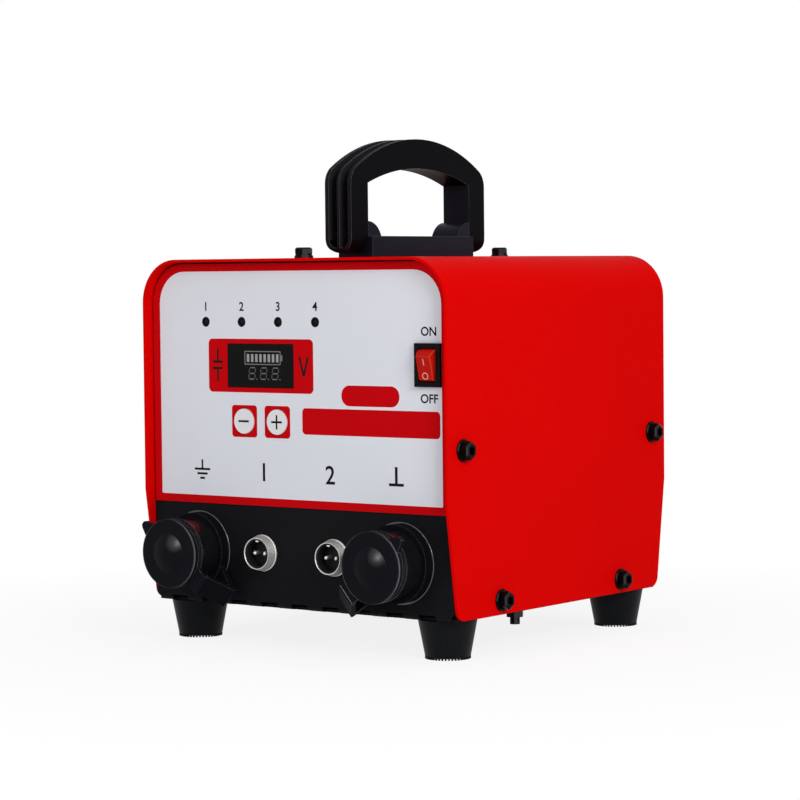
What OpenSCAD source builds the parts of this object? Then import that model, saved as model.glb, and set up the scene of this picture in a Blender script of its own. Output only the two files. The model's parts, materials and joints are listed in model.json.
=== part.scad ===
// Portable battery stud welder: sheet case, carry handle, capped power sockets and control panel.
// Millimetres. The machine stands on z = 0, its front faces -Y and +X is its right side.

/* [Case] */
// Width of the cover
case_w = 193; // [186:1:215]
// Depth of the cover from front edge to back edge
case_d = 196; // [188:1:220]
// Height of the cover from its lower edge to its top
cover_h = 175; // [170:1:190]
// Thickness of the cover sheet
cover_t = 1.5; // [1:0.1:2]
// Outer radius of the cover's upper corners
corner_r = 22; // [16:1:28]
// How far the cover's edges slant in at the bottom of its sides
side_taper = 8; // [3:0.5:11]
// Height over which those edges slant
taper_h = 57; // [40:1:70]
// Radius of the lower corners of the cover's sides
side_corner_r = 6; // [3:0.5:9]

/* [Chassis] */
// Thickness of the chassis sheet
chassis_t = 1.5; // [1:0.1:2]
// Gap between the cover and the chassis
cover_gap = 0.3; // [0.2:0.1:0.6]
// How far the front and rear panels lie behind the cover's edges
recess = 6; // [5:0.5:8]
// Outer radius of the lower bends
bend_r = 3; // [2.5:0.5:4]
// Height of the cover's lower edge over the chassis underside
cover_step = 0.5; // [0:0.1:1]
// Width of the screw flanges of both panels
flange_w = 14; // [13:0.5:16]
// Length of the panels' side flanges
side_flange_len = 110; // [90:1:114]
// Length of the panels' top flanges
top_flange_len = 100; // [60:1:120]
// Height of the floor's side flanges
floor_flange_h = 15; // [14:0.5:18]
// Length of the floor's side flanges
floor_flange_len = 130; // [124:1:135]
// Chamfer at the panels' lower corners
panel_chamfer = 4; // [1:0.5:5]
// Number of vent slots in each lower bend
slot_count = 9; // [3:2:9]
// Spacing of the vent slots
slot_pitch = 19.75; // [17:0.25:20]
// Length of a vent slot
slot_len = 10.5; // [6:0.5:13]
// How far a vent slot reaches up the panel
slot_rise = 2.8; // [2:0.1:3.5]

/* [Feet] */
// Height of a foot
foot_h = 19.5; // [17:0.5:26]
// Diameter of a foot at its top
foot_top_d = 29.5; // [25:0.5:30]
// Diameter of a foot at the ground
foot_bottom_d = 22; // [20:0.5:25]
// Distance of a foot's axis from the cover's side
foot_inset_x = 17; // [16:0.5:24]
// Distance of a foot's axis from the cover's front or back edge
foot_inset_y = 22.5; // [21:0.5:30]
// Diameter of the counterbore for the foot's screw head
foot_bore_d = 11; // [10.5:0.5:13]
// Depth of that counterbore
foot_bore_depth = 9; // [6:0.5:12]

/* [Fasteners] */
// Diameter of the case screws and bolts
screw_d = 5; // [4:0.5:5]
// Clearance of a screw in its hole, on the radius
screw_gap = 0.2; // [0.1:0.05:0.3]
// Flange diameter of a case screw
screw_flange_d = 11; // [10:0.5:12]
// Flange thickness of a case screw
screw_flange_t = 1.3; // [0.8:0.1:2]
// Width across flats of a case screw's head
screw_af = 8; // [7:0.5:9]
// Height of a case screw's head over its flange
screw_head_h = 4; // [3:0.5:5]
// Shank length of a case screw under its head
screw_len = 9; // [8:0.5:12]
// Outer diameter of the clinch nuts
clinch_d = 9; // [8:0.5:10]
// Thickness of the clinch nuts
clinch_t = 3; // [2:0.5:4]
// Height of the upper side screws over the chassis underside
side_screw_up = 82.5; // [70:0.5:88]
// Distance between the lower side screws, front to back
low_screw_span = 107.6; // [90:0.2:112]
// Width across flats of the bolts' nuts
nut_af = 8; // [8:0.5:9]
// Height of those nuts
nut_h = 4; // [3:0.5:5]

/* [Handle] */
// Distance of the handle's middle behind the cover's
handle_back = 1; // [0:0.1:2]
// Length of the handle, front to back
handle_len = 116; // [108:1:130]
// Width of the handle
handle_w = 16.8; // [16.5:0.1:20]
// Height of the handle's crown over the cover
handle_top = 61.3; // [56:0.5:72]
// Radius of the crown
crown_r = 100; // [85:1:110]
// Radius of the handle's shoulders
shoulder_r = 10; // [9:0.5:14]
// Thickness of the legs
leg_t = 14; // [12:0.5:14.5]
// Height of the grip's section at the crown
grip_t = 15.2; // [11:0.1:16]
// Radius of the arch under the grip
gap_r = 123; // [100:1:140]
// Gap between the legs and the cover
leg_gap = 2.4; // [2:0.1:5]
// Width of the two grooves round the outside
groove_w = 5.3; // [4.8:0.1:5.4]
// Thickness of the fin between the grooves
fin_t = 1.6; // [1.4:0.1:2.6]
// Depth of the grooves
groove_depth = 8; // [6:0.5:8.5]
// Height at which the grooves close over the cover
groove_foot = 5; // [4.5:0.5:10]
// Radius of the legs' lower edges, seen from the front
leg_round = 7.5; // [3:0.5:8]
// Radius of the legs' lower edges, seen from the side
leg_foot_r = 4; // [2:0.5:6]
// Width of the handle's base
base_w = 22; // [20:0.2:26]
// Height of the handle's base
base_h = 11; // [9:0.5:13]
// Radius of the bosses at the ends of the base
boss_r = 11.6; // [10.5:0.1:13]
// Height of the bosses' axis over the cover
boss_up = 7; // [5:0.5:8]
// Diameter of the handle's screws
grip_screw_d = 3; // [2.5:0.1:3.2]
// Head diameter of the handle's screws
grip_head_d = 4.6; // [4.2:0.1:4.7]
// Head height of the handle's screws
grip_head_h = 1.8; // [1.2:0.1:2.4]
// Length of the handle's screws
grip_screw_len = 12; // [10:0.5:13]
// Height of the handle's screws over the cover
grip_screw_up = 12.5; // [11.5:0.5:14]
// Distance between the screws that hold the base, front to back
base_screw_span = 50; // [30:1:56]
// Head diameter of the base screws
base_head_d = 8.5; // [7.5:0.5:10]
// Head height of the base screws
base_head_h = 3; // [2:0.5:4]
// How deep the base screws reach into the base
base_screw_grip = 8; // [5:0.5:8.5]

/* [Front panel] */
// Thickness of the printed overlay
overlay_t = 0.5; // [0.3:0.1:0.8]
// Height of the overlay's lower edge over the chassis underside
overlay_up = 51.4; // [48:0.2:54]
// Margin between the overlay and the edge of the panel
overlay_margin = 0.5; // [0.3:0.1:1.5]
// Sideways place of the display's middle
display_x = -22.8; // [-28:0.1:-20]
// Height of the display's middle over the chassis underside
display_up = 121.8; // [120:0.1:126]
// Width of the display window
window_w = 42.7; // [38:0.1:46]
// Height of the display window
window_h = 21.8; // [18:0.1:23]
// Clearance round the display window
window_gap = 0.2; // [0.1:0.05:0.3]
// Width of the rim that holds the window from behind
window_rim = 2; // [1:0.1:3]
// Thickness of that rim
window_rim_t = 1; // [0.6:0.1:1.5]
// Thickness of the display module
module_t = 5.5; // [4:0.1:6.5]
// Height of the indicator lamps over the chassis underside
lamp_up = 143.8; // [142:0.1:147]
// Spacing of the indicator lamps
lamp_pitch = 23.7; // [18:0.1:25]
// Diameter of an indicator lamp
lamp_d = 4; // [3:0.1:5]
// Clearance round an indicator lamp
lamp_gap = 0.2; // [0.1:0.05:0.3]
// How far a lamp stands out of the overlay
lamp_proud = 0.2; // [0:0.1:0.8]
// Height of the keys over the chassis underside
key_up = 93.8; // [90:0.1:96]
// Spacing of the two keys
key_pitch = 21.4; // [20:0.1:24]
// Diameter of a key
key_d = 12.6; // [10:0.1:13]
// Clearance round a key
key_gap = 0.3; // [0.2:0.05:0.5]
// How far a key stands out of the overlay
key_proud = 0.7; // [0.5:0.1:1]
// Rim round a key behind the panel
key_rim = 1.5; // [1:0.1:2]
// Thickness of that rim
key_rim_t = 1; // [0.8:0.1:1.3]
// Travel of a key
key_travel = 0.6; // [0.3:0.1:0.8]
// Diameter of a key's stem
key_stem_d = 3.8; // [3:0.1:4.5]
// Side length of a key switch
key_switch_w = 8; // [7:0.5:10]
// Height of a key switch over the board
key_switch_h = 5; // [4.5:0.1:5.5]
// How far a key's stem enters its switch
key_engage = 1.9; // [1:0.1:2.4]

/* [Control board] */
// Distance between the panel and the control board
board_stand = 8; // [7.8:0.1:10]
// Thickness of the circuit boards
board_t = 1.6; // [1.2:0.1:2]
// Width of the control board
board_w = 92; // [90:1:100]
// Lower margin of the control board under the keys
board_low = 13; // [9:0.5:14]
// Upper margin of the control board over the lamps
board_high = 9; // [6:0.5:10]
// Distance of the board's posts from its edges
post_inset = 4; // [3.5:0.5:5]
// Diameter of the board's posts
post_d = 6; // [5:0.5:7]
// Diameter of the board's screws
post_screw_d = 3; // [2.5:0.5:3]

/* [Rocker switch] */
// Distance of the switch's middle from the cover's side
rocker_inset = 14.2; // [13.5:0.1:20]
// Height of the switch's middle over the chassis underside
rocker_up = 123.5; // [115:0.5:130]
// Height of the switch's bezel
bezel_h = 21; // [20.5:0.1:23]
// Width of the switch's bezel
bezel_w = 15; // [14.5:0.1:17]
// Thickness of the switch's bezel
bezel_t = 2; // [1.6:0.1:2.4]
// Height of the switch's body
switch_h = 19; // [18.6:0.1:19.4]
// Width of the switch's body
switch_w = 12.8; // [12.6:0.1:13.2]
// Depth of the switch's body
switch_depth = 13; // [11:0.5:15]
// Clearance of the body in its cut-out
switch_gap = 0.15; // [0.1:0.05:0.3]
// Radius of the rocker's ends about its pivot
rocker_r = 8.1; // [7.6:0.1:8.4]
// Width of the rocker
rocker_w = 10; // [9.5:0.1:10.4]
// Clearance round the rocker
rocker_gap = 0.3; // [0.2:0.05:0.4]
// Angle that the rocker turns through
rocker_throw = 26; // [16:1:28]
// Slope of each of the rocker's faces towards its middle
rocker_dish = 3.5; // [1:0.5:6]
// Depth of the rocker behind its pivot
rocker_depth = 5; // [4:0.5:6]
// Height of the rocker's middle over its pivot
rocker_rise = 5.5; // [4.5:0.1:6]
// How far the rocker's sides draw in towards its face
rocker_draw = 0.8; // [0.2:0.1:1.2]
// Depth of the pivot behind the bezel's face
pivot_in = 3.5; // [2:0.1:4]
// Diameter of the rocker's pivots
pivot_d = 2.5; // [2:0.1:3]
// Clearance of the pivots, on the radius
pivot_gap = 0.05; // [0.02:0.01:0.1]
// Spacing of the switch's terminals
terminal_pitch = 8; // [6:0.5:10]
// Length of the switch's terminals
terminal_len = 8; // [6:0.5:10]

/* [Power sockets] */
// Distance of a power socket's axis from the cover's side
socket_inset = 32.3; // [28:0.1:33]
// Height of the power sockets over the chassis underside
socket_up = 27.3; // [26.5:0.1:28]
// Diameter of a socket's body behind the cap
body_d = 33.4; // [32:0.1:34.4]
// Diameter of a socket's mouth, under the cap
barrel_d = 29; // [27:0.1:30]
// Length of a socket in front of the panel
barrel_len = 21.7; // [18:0.1:25]
// Diameter of a socket's flange
socket_flange_d = 40.4; // [38:0.1:44]
// Thickness of a socket's flange
socket_flange_t = 1.2; // [1:0.1:2]
// Diameter of the brass contact in a socket
contact_d = 20; // [18:0.5:21]
// Bore of the brass contact
contact_bore = 13.1; // [12:0.1:14]
// Depth of that bore
contact_bore_depth = 15; // [10:0.5:15.5]
// How far the contact lies behind the barrel's end
contact_set_back = 1.5; // [1:0.1:3]
// Thickness of the barrel's back wall in front of the panel
barrel_wall = 3; // [2.5:0.1:4]
// Diameter of the contact's stud
stud_d = 12; // [10:0.5:12]
// Length of the stud behind the panel
stud_len = 18; // [16:0.5:22]
// Diameter of the insulating boss in the panel hole
socket_boss_d = 22; // [18:0.5:24]
// Outer diameter of the insulating washers
washer_d = 32; // [28:0.5:34]
// Thickness of the insulating washers
washer_t = 2.5; // [2:0.1:4]
// Width across flats of the stud nuts
stud_nut_af = 19; // [17:0.5:19]
// Height of the stud nuts
stud_nut_h = 8; // [6:0.5:9]
// Clearance of pieces that sit in one another, on the radius
seat_gap = 0.15; // [0.1:0.05:0.25]

/* [Rubber caps] */
// Diameter of a cap's disc
cap_d = 35.2; // [34.6:0.1:38]
// Thickness of a cap's disc
cap_t = 3; // [2.4:0.1:4]
// Depth of a cap's skirt behind its disc
skirt_depth = 3.5; // [3:0.1:5]
// Diameter of a cap's skirt
skirt_d = 33.4; // [33:0.1:34.2]
// Number of ribs round a skirt
skirt_ribs = 1; // [1:1:2]
// Width of a rib
skirt_rib_w = 1.3; // [0.8:0.1:1.3]
// How far a rib stands out
skirt_rib_h = 0.8; // [0.4:0.1:1]
// Clearance between a cap and its barrel
cap_gap = 0.5; // [0.45:0.05:0.8]
// Clearance between a cap's disc and the barrel's end
cap_rest = 0.3; // [0.2:0.05:0.5]
// Diameter of the dome on a cap
dome_d = 20.5; // [14:0.5:22]
// Height of the dome on a cap
dome_h = 2.8; // [1.5:0.1:3.5]
// Reach of a cap's finger tab from the axis
tab_reach = 23; // [21.5:0.1:26]
// Width of the tab where it leaves the disc
tab_w = 10; // [8:0.5:13]
// Width of the tab at its tip
tab_tip_w = 4; // [3:0.5:7]
// Thickness of the tab
tab_t = 2.4; // [1.6:0.1:2.4]
// Outer diameter of a cap's ring
ring_d = 38.5; // [37:0.5:40]
// Height of a cap's ring
ring_h = 5; // [4:0.5:8]
// Width of a strap
strap_w = 11.2; // [9:0.1:14]
// Thickness of a strap
strap_t = 2.5; // [2:0.1:3]
// Distance of a strap's fold from the socket's axis
fold_reach = 33.6; // [31:0.1:35]
// Height of a strap's fold over the panel
fold_out = 9.8; // [7:0.1:11]
// Angle of a strap below the horizontal
strap_turn = 40; // [35:1:50]
// Distance of the cap's hinge line from the socket's axis
hinge_reach = 22.5; // [21.5:0.1:24]
// Distance of that line behind a cap's disc
hinge_drop = 1; // [0.8:0.1:2]
// Radius of the rolled end of a cap's ear
roll_r = 1.5; // [1.2:0.1:1.8]
// Clearance round that end, on the radius
roll_gap = 0.05; // [0.02:0.01:0.1]
// Thickness of the ear between a cap's disc and its rolled end
ear_t = 1.6; // [1.2:0.1:1.8]
// Radius where the ear's sides run into a cap's rim
ear_round = 6; // [3:0.5:7]

/* [Control sockets] */
// Distance between the two control sockets
control_pitch = 45.6; // [40:0.2:48]
// Height of the control sockets over the chassis underside
control_up = 27.7; // [24:0.1:30]
// Diameter of a control socket's shell
shell_d = 16.2; // [15.6:0.1:16.4]
// Bore of that shell
shell_bore = 13.4; // [11.8:0.1:13.8]
// How far the shell stands out of the panel
shell_out = 5.6; // [5:0.1:8]
// Length of the shell behind the panel
shell_in = 11; // [9:0.5:14]
// Diameter of the shell's flange
shell_flange_d = 18.4; // [18:0.1:20]
// Thickness of the shell's flange
shell_flange_t = 2; // [1.2:0.1:2.5]
// How far the insert's face lies behind the panel's face
insert_set_back = 0.8; // [0.4:0.1:2]
// Diameter of the contact pins
pin_d = 2.2; // [1.6:0.1:2.5]
// Spacing of the contact pins
pin_pitch = 6.4; // [5.5:0.1:7]
// Length of the pins in front of the insert
pin_out = 4.2; // [3:0.1:5.4]
// Width of the key in the shell
shell_key_w = 1.8; // [1:0.1:2.2]
// Height of the key in the shell
shell_key_h = 0.8; // [0.5:0.1:0.9]
// Width across flats of the shell's nut
shell_nut_af = 19; // [18:0.5:20]
// Thickness of the shell's nut
shell_nut_t = 2.5; // [2:0.1:4]

/* [Battery] */
// Diameter of a cell
cell_d = 32.4; // [30:0.1:33]
// Length of a cell
cell_len = 70.5; // [65:0.5:72]
// Gap between neighbouring cells
cell_gap = 1.1; // [0.8:0.1:1.5]
// Height of a cell holder
holder_h = 8; // [6:0.5:10]
// Margin of a cell holder round the cells
holder_margin = 1.2; // [0.8:0.1:1.4]
// Thickness of the lower holder's floor
holder_floor = 2.5; // [1.5:0.1:4]
// Width of a cell link
link_w = 12; // [8:0.5:14]
// Thickness of a cell link
link_t = 1; // [0.5:0.1:1.2]
// Thickness of a battery lead
lead_t = 1.5; // [1:0.1:1.8]
// Width of a battery lead
lead_w = 10; // [8:0.5:12]

/* [Shelf and power board] */
// Thickness of the shelf's sheet
shelf_t = 2; // [1.5:0.1:3]
// Gap between the battery and the shelf's legs
shelf_gap = 2; // [1.5:0.1:2.5]
// Gap between the cell links and the shelf
shelf_clear = 3; // [2.5:0.1:5]
// Width of the shelf, front to back
shelf_w = 64; // [58:1:66]
// Length of the shelf's feet
shelf_foot = 19; // [17:0.5:20]
// Distance of the shelf's bolts in front of the case's middle
shelf_bolt_fore = 19; // [12:1:22]
// Length of a shelf bolt under the floor
bolt_below = 9; // [7:0.5:11]
// Height of the posts under the power board
power_stand = 6; // [4:0.5:10]
// Thickness of the power board
power_t = 2; // [1.6:0.1:2.4]
// Width of the power board
power_w = 136; // [132:1:138]
// Depth of the power board
power_d = 60; // [56:1:62]
// Number of power transistors
transistor_count = 6; // [2:1:6]
// Spacing of the power transistors
transistor_pitch = 19; // [17:0.5:20]
// Width of a power transistor
transistor_w = 16; // [14:0.5:16]
// Depth of a power transistor
transistor_d = 21; // [18:0.5:22]
// Thickness of a power transistor
transistor_t = 5; // [4:0.5:6]
// Thickness of the heat sink's base
sink_base = 5; // [3:0.5:7]
// Depth of the heat sink
sink_d = 26; // [24:1:28]
// Height of the heat sink's fins
sink_fin_h = 18; // [10:1:24]
// Thickness of a heat sink fin
sink_fin_t = 1.6; // [1.2:0.1:2.4]
// Number of heat sink fins
sink_fins = 15; // [7:1:17]
// Width of a busbar
busbar_w = 20; // [16:0.5:21]
// Thickness of a busbar
busbar_t = 2.5; // [2:0.1:3]

/* [Charging socket] */
// Distance of the charging socket from the cover's left side, seen from the front
charge_inset = 40; // [36:1:60]
// Height of the charging socket over the chassis underside
charge_up = 40; // [30:1:60]
// Diameter of the charging socket's shell
charge_d = 12; // [10:0.5:14]
// Diameter of the charging socket's flange
charge_flange_d = 16; // [15:0.5:18]
// How far the charging socket stands out of the panel
charge_out = 4.5; // [3:0.5:5]
// Length of the charging socket behind the panel
charge_in = 10; // [8:0.5:14]
// Bore of the charging socket
charge_bore = 8.4; // [7:0.1:9]
// Diameter of the charging socket's pin
charge_pin_d = 2.5; // [1.5:0.1:3]

/* [Hidden] */
$fn = 64;

// A little more than nothing, for cuts that pass a face
slip = 0.5;
LEFT = -1;
RIGHT = 1;
SIDES = [LEFT, RIGHT];
arc_steps = 10;

// Cells from side to side
cell_columns = 4;

// Front to back: the whole machine, caps included, is centred on y = 0
front_reach = case_d / 2 - recess + barrel_len + cap_rest + cap_t + dome_h;
mid_y = (front_reach - case_d / 2) / 2;
cover_front = mid_y - case_d / 2;
cover_back = mid_y + case_d / 2;
handle_y = mid_y + handle_back;
front_y = cover_front + recess;
back_y = cover_back - recess;
overlay_y = front_y - overlay_t;
panel_in_y = front_y + chassis_t;

// Heights
base_z = foot_h;
floor_z = base_z + chassis_t;
cover_z = base_z + cover_step;
top_z = cover_z + cover_h;
chassis_top = top_z - cover_t - cover_gap;

// Widths
chassis_w = case_w - 2 * (cover_t + cover_gap);
panel_corner_r = corner_r - cover_t - cover_gap;
flange_face = chassis_w / 2;

// Screw places
flange_screw_front = front_y + flange_w / 2;
flange_screw_back = back_y - flange_w / 2;
low_screw_z = base_z + floor_flange_h / 2;
side_screw_z = base_z + side_screw_up;
SIDE_SCREWS = [
    [flange_screw_front, side_screw_z],
    [flange_screw_back, side_screw_z],
    [mid_y - low_screw_span / 2, low_screw_z],
    [mid_y + low_screw_span / 2, low_screw_z]
];
FLANGE_SCREWS = [flange_screw_front, flange_screw_back];
BASE_SCREWS = [handle_y - base_screw_span / 2, handle_y + base_screw_span / 2];
hole_d = screw_d + 2 * screw_gap;
side_flange_shift = 8;
side_flange_mid = base_z + side_screw_up + side_flange_shift;

// Feet
foot_x = case_w / 2 - foot_inset_x;
foot_y = case_d / 2 - foot_inset_y;
foot_head_h = 3;
foot_head_d = foot_bore_d - 2;

// Front panel places
lamp_z = base_z + lamp_up;
display_z = base_z + display_up;
key_z = base_z + key_up;
rocker_x = case_w / 2 - rocker_inset;
rocker_z = base_z + rocker_up;
socket_x = case_w / 2 - socket_inset;
socket_z = base_z + socket_up;
control_x = control_pitch / 2;
control_z = base_z + control_up;
LAMPS = [for (i = [-1.5 : 1 : 1.5]) display_x + i * lamp_pitch];
MINUS_X = display_x - key_pitch / 2;
PLUS_X = display_x + key_pitch / 2;

// Control board
board_y = panel_in_y + board_stand;
board_bottom = key_z - board_low;
board_top = lamp_z + board_high;
POSTS = [for (sx = SIDES, z = [board_bottom + post_inset, board_top - post_inset])
    [display_x + sx * (board_w / 2 - post_inset), z]];
post_floor = 0.8;
post_screw_len = board_stand + board_t - post_floor - 0.2;
post_head_h = 2;

// Rocker
pivot_y = overlay_y - bezel_t + pivot_in;
cavity_h = 2 * (rocker_r + rocker_gap);
cavity_w = rocker_w + 2 * rocker_gap;
cavity_depth = rocker_r + rocker_gap;
side_edge = rocker_rise / 2;
pivot_end = switch_w / 2 - 0.1;

// Power sockets, measured outward from the panel's face
ring_foot = socket_flange_t;
contact_foot = barrel_wall;
contact_front = barrel_len - contact_set_back;
bore_floor = max(contact_front - contact_bore_depth, contact_foot + 2);
cap_back = barrel_len + cap_rest;
cap_front = cap_back + cap_t;
skirt_back = cap_back - skirt_depth;
skirt_bore = barrel_d + 2 * cap_gap;
hinge_out = cap_back - hinge_drop;
body_len = skirt_back - cap_rest;
rib_pitch = skirt_depth / skirt_ribs;
fold_r = 0.6 * strap_t;
cap_edge = 0.6;
ear_bite = 0.3;
tab_bevel = 1;
washer_y = panel_in_y;
busbar_y = washer_y + washer_t;
stud_nut_y = busbar_y + busbar_t;

// Control sockets
shell_tail = chassis_t + shell_in;
insert_rim = 1.5;

// Battery and shelf
cell_pitch = cell_d + cell_gap;
CELLS = [for (i = [0 : cell_columns - 1], s = SIDES)
    [(i - (cell_columns - 1) / 2) * cell_pitch, mid_y + s * cell_pitch / 2]];
pack_w = cell_columns * cell_pitch - cell_gap + 2 * holder_margin;
pack_d = 2 * cell_pitch - cell_gap + 2 * holder_margin;
cell_z = floor_z + holder_floor;
cell_top = cell_z + cell_len;
link_top = cell_top + link_t;
link_over = 10;
shelf_z = link_top + shelf_clear;
shelf_top = shelf_z + shelf_t;
shelf_leg = pack_w / 2 + shelf_gap;
shelf_bolt_x = shelf_leg + shelf_t + (shelf_foot - shelf_t) / 2;
SHELF_BOLTS = [for (sx = SIDES) [sx * shelf_bolt_x, mid_y - shelf_bolt_fore]];
power_z = shelf_top + power_stand;
power_top = power_z + power_t;
sink_z = power_top + transistor_t;
sink_w = transistor_pitch * transistor_count + 8;
POWER_POSTS = [for (sx = SIDES, sy = SIDES)
    [sx * (power_w / 2 - 5), mid_y + sy * (power_d / 2 - 5)]];
lead_x = (cell_columns - 1) / 2 * cell_pitch;
lead_back = mid_y + pack_d / 2 + 1;
busbar_rise = mid_y - pack_d / 2 - 1.5;
busbar_level = board_bottom - 8;

// Charging socket
charge_x = charge_inset - case_w / 2;
charge_z = base_z + charge_up;
charge_flange_t = 1.5;
charge_floor = 4;
charge_nut_t = 3;

// Helpers

// A box between two corners
module box(low, high) {
    translate(low) cube(high - low);
}

// A flat (x, z) shape carried from one y to another
module along_y(from, to) {
    translate([0, to, 0]) rotate([90, 0, 0]) linear_extrude(to - from) children();
}

// A flat (y, z) shape carried from one x to another
module along_x(from, to) {
    translate([from, 0, 0]) rotate([90, 0, 90]) linear_extrude(to - from) children();
}

module rod_x(y, z, from, to, d) {
    translate([from, y, z]) rotate([0, 90, 0]) cylinder(h = to - from, d = d);
}

module rod_y(x, z, from, to, d) {
    translate([x, to, z]) rotate([90, 0, 0]) cylinder(h = to - from, d = d);
}

module rod_z(x, y, from, to, d) {
    translate([x, y, from]) cylinder(h = to - from, d = d);
}

// Hexagonal prism across flats, standing on z = 0
module hexagon(af, h) {
    cylinder(h = h, d = af / cos(30), $fn = 6);
}

// Hexagonal nut standing on z = 0
module hex_nut(af, h, bore) {
    difference() {
        hexagon(af, h);
        translate([0, 0, -slip]) cylinder(h = h + 2 * slip, d = bore);
    }
}

// Rectangle on y = 0 with its upper corners rounded
module arch(w, h, r) {
    translate([-w / 2, 0]) square([w, h - r]);
    translate([r - w / 2, 0]) square([w - 2 * r, h]);
    for (s = SIDES) translate([s * (w / 2 - r), h - r]) circle(r);
}

// Rectangle on y = 0 with its lower corners rounded
module tub(w, h, r) {
    translate([0, h]) mirror([0, 1]) arch(w, h, r);
}

// Case screw: flange and hexagon head over z = 0, shank below it
module case_screw() {
    cylinder(h = screw_flange_t, d = screw_flange_d);
    translate([0, 0, screw_flange_t]) hexagon(screw_af, screw_head_h);
    translate([0, 0, -screw_len]) cylinder(h = screw_len, d = screw_d);
}

// Turns a piece that stands on z = 0 to stand on a face that looks along -X or +X
module on_side(s, y, z, x) {
    translate([s * x, y, z]) rotate([0, s * 90, 0]) children();
}

// Local frame on the front panel: x to the right, y up, z out of the panel
module on_front(x, z, y = front_y) {
    translate([x, y, z]) rotate([90, 0, 0]) children();
}

// Frame of a power socket, whose x runs towards the strap, down and inwards
module on_socket(s) {
    on_front(s * socket_x, socket_z) rotate([0, 0, s == LEFT ? -strap_turn : strap_turn - 180]) {
        children();
    }
}

// A flat (strap direction, outward) shape as wide as a strap
module strap_wide(w) {
    translate([0, w / 2, 0]) rotate([90, 0, 0]) linear_extrude(w) children();
}

// Case

// Points on an arc
function arc(centre, r, from, to) = [for (i = [0 : arc_steps])
    let (a = from + (to - from) * i / arc_steps) centre + r * [cos(a), sin(a)]];

// Side view of the cover: straight edges that slant in to rounded corners at the bottom
module cover_side() {
    slant = atan(side_taper / taper_h);
    low = case_d / 2 - side_taper - side_corner_r * (1 - sin(slant)) / cos(slant);
    polygon(concat(
        [[-case_d / 2, taper_h], [-case_d / 2, cover_h], [case_d / 2, cover_h], [case_d / 2, taper_h]],
        arc([low, side_corner_r], side_corner_r, -slant, -90),
        arc([-low, side_corner_r], side_corner_r, -90, slant - 180)
    ));
}

module cover() {
    color("red") difference() {
        intersection() {
            along_y(cover_front, cover_back) translate([0, cover_z]) difference() {
                arch(case_w, cover_h, corner_r);
                translate([0, -slip]) {
                    arch(case_w - 2 * cover_t, cover_h - cover_t + slip, corner_r - cover_t);
                }
            }
            along_x(-case_w / 2, case_w / 2) translate([mid_y, cover_z]) cover_side();
        }
        for (p = SIDE_SCREWS) rod_x(p[0], p[1], -case_w, case_w, hole_d);
        for (y = concat(FLANGE_SCREWS, BASE_SCREWS)) {
            rod_z(0, y, top_z - cover_t - slip, top_z + slip, hole_d);
        }
    }
}

// Front outline shared by both panels
module panel_outline() {
    difference() {
        translate([0, base_z]) arch(chassis_w, chassis_top - base_z, panel_corner_r);
        for (s = SIDES) translate([s * chassis_w / 2, base_z]) rotate(45) {
            square(panel_chamfer * sqrt(2), center = true);
        }
    }
}

module panel_flanges(s) {
    face = s == LEFT ? front_y : back_y;
    edge = face - s * flange_w;
    from = min(face, edge);
    to = max(face, edge);
    for (sx = SIDES) {
        outer = sx * flange_face;
        inner = sx * (flange_face - chassis_t);
        box([min(outer, inner), from, side_flange_mid - side_flange_len / 2],
            [max(outer, inner), to, side_flange_mid + side_flange_len / 2]);
    }
    box([-top_flange_len / 2, from, chassis_top - chassis_t], [top_flange_len / 2, to, chassis_top]);
}

module chassis_sheet() {
    depth = back_y - front_y;
    intersection() {
        along_x(-chassis_w / 2, chassis_w / 2) translate([mid_y, base_z]) difference() {
            tub(depth, chassis_top - base_z, bend_r);
            translate([0, chassis_t]) tub(depth - 2 * chassis_t, chassis_top, bend_r - chassis_t);
        }
        union() {
            along_y(front_y - slip, front_y + bend_r) panel_outline();
            along_y(back_y - bend_r, back_y + slip) panel_outline();
            box([-chassis_w / 2, front_y + bend_r, base_z], [chassis_w / 2, back_y - bend_r, floor_z]);
        }
    }
    for (s = SIDES) panel_flanges(s);
    for (s = SIDES) {
        outer = s * flange_face;
        inner = s * (flange_face - chassis_t);
        box([min(outer, inner), mid_y - floor_flange_len / 2, base_z],
            [max(outer, inner), mid_y + floor_flange_len / 2, base_z + floor_flange_h]);
    }
}

module front_holes(depth_from, depth_to) {
    for (x = LAMPS) rod_y(x, lamp_z, depth_from, depth_to, lamp_d + 2 * lamp_gap);
    for (x = [MINUS_X, PLUS_X]) rod_y(x, key_z, depth_from, depth_to, key_d + 2 * key_gap);
    box([display_x - window_w / 2 - window_gap, depth_from, display_z - window_h / 2 - window_gap],
        [display_x + window_w / 2 + window_gap, depth_to, display_z + window_h / 2 + window_gap]);
    box([rocker_x - switch_w / 2 - switch_gap, depth_from, rocker_z - switch_h / 2 - switch_gap],
        [rocker_x + switch_w / 2 + switch_gap, depth_to, rocker_z + switch_h / 2 + switch_gap]);
}

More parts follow.
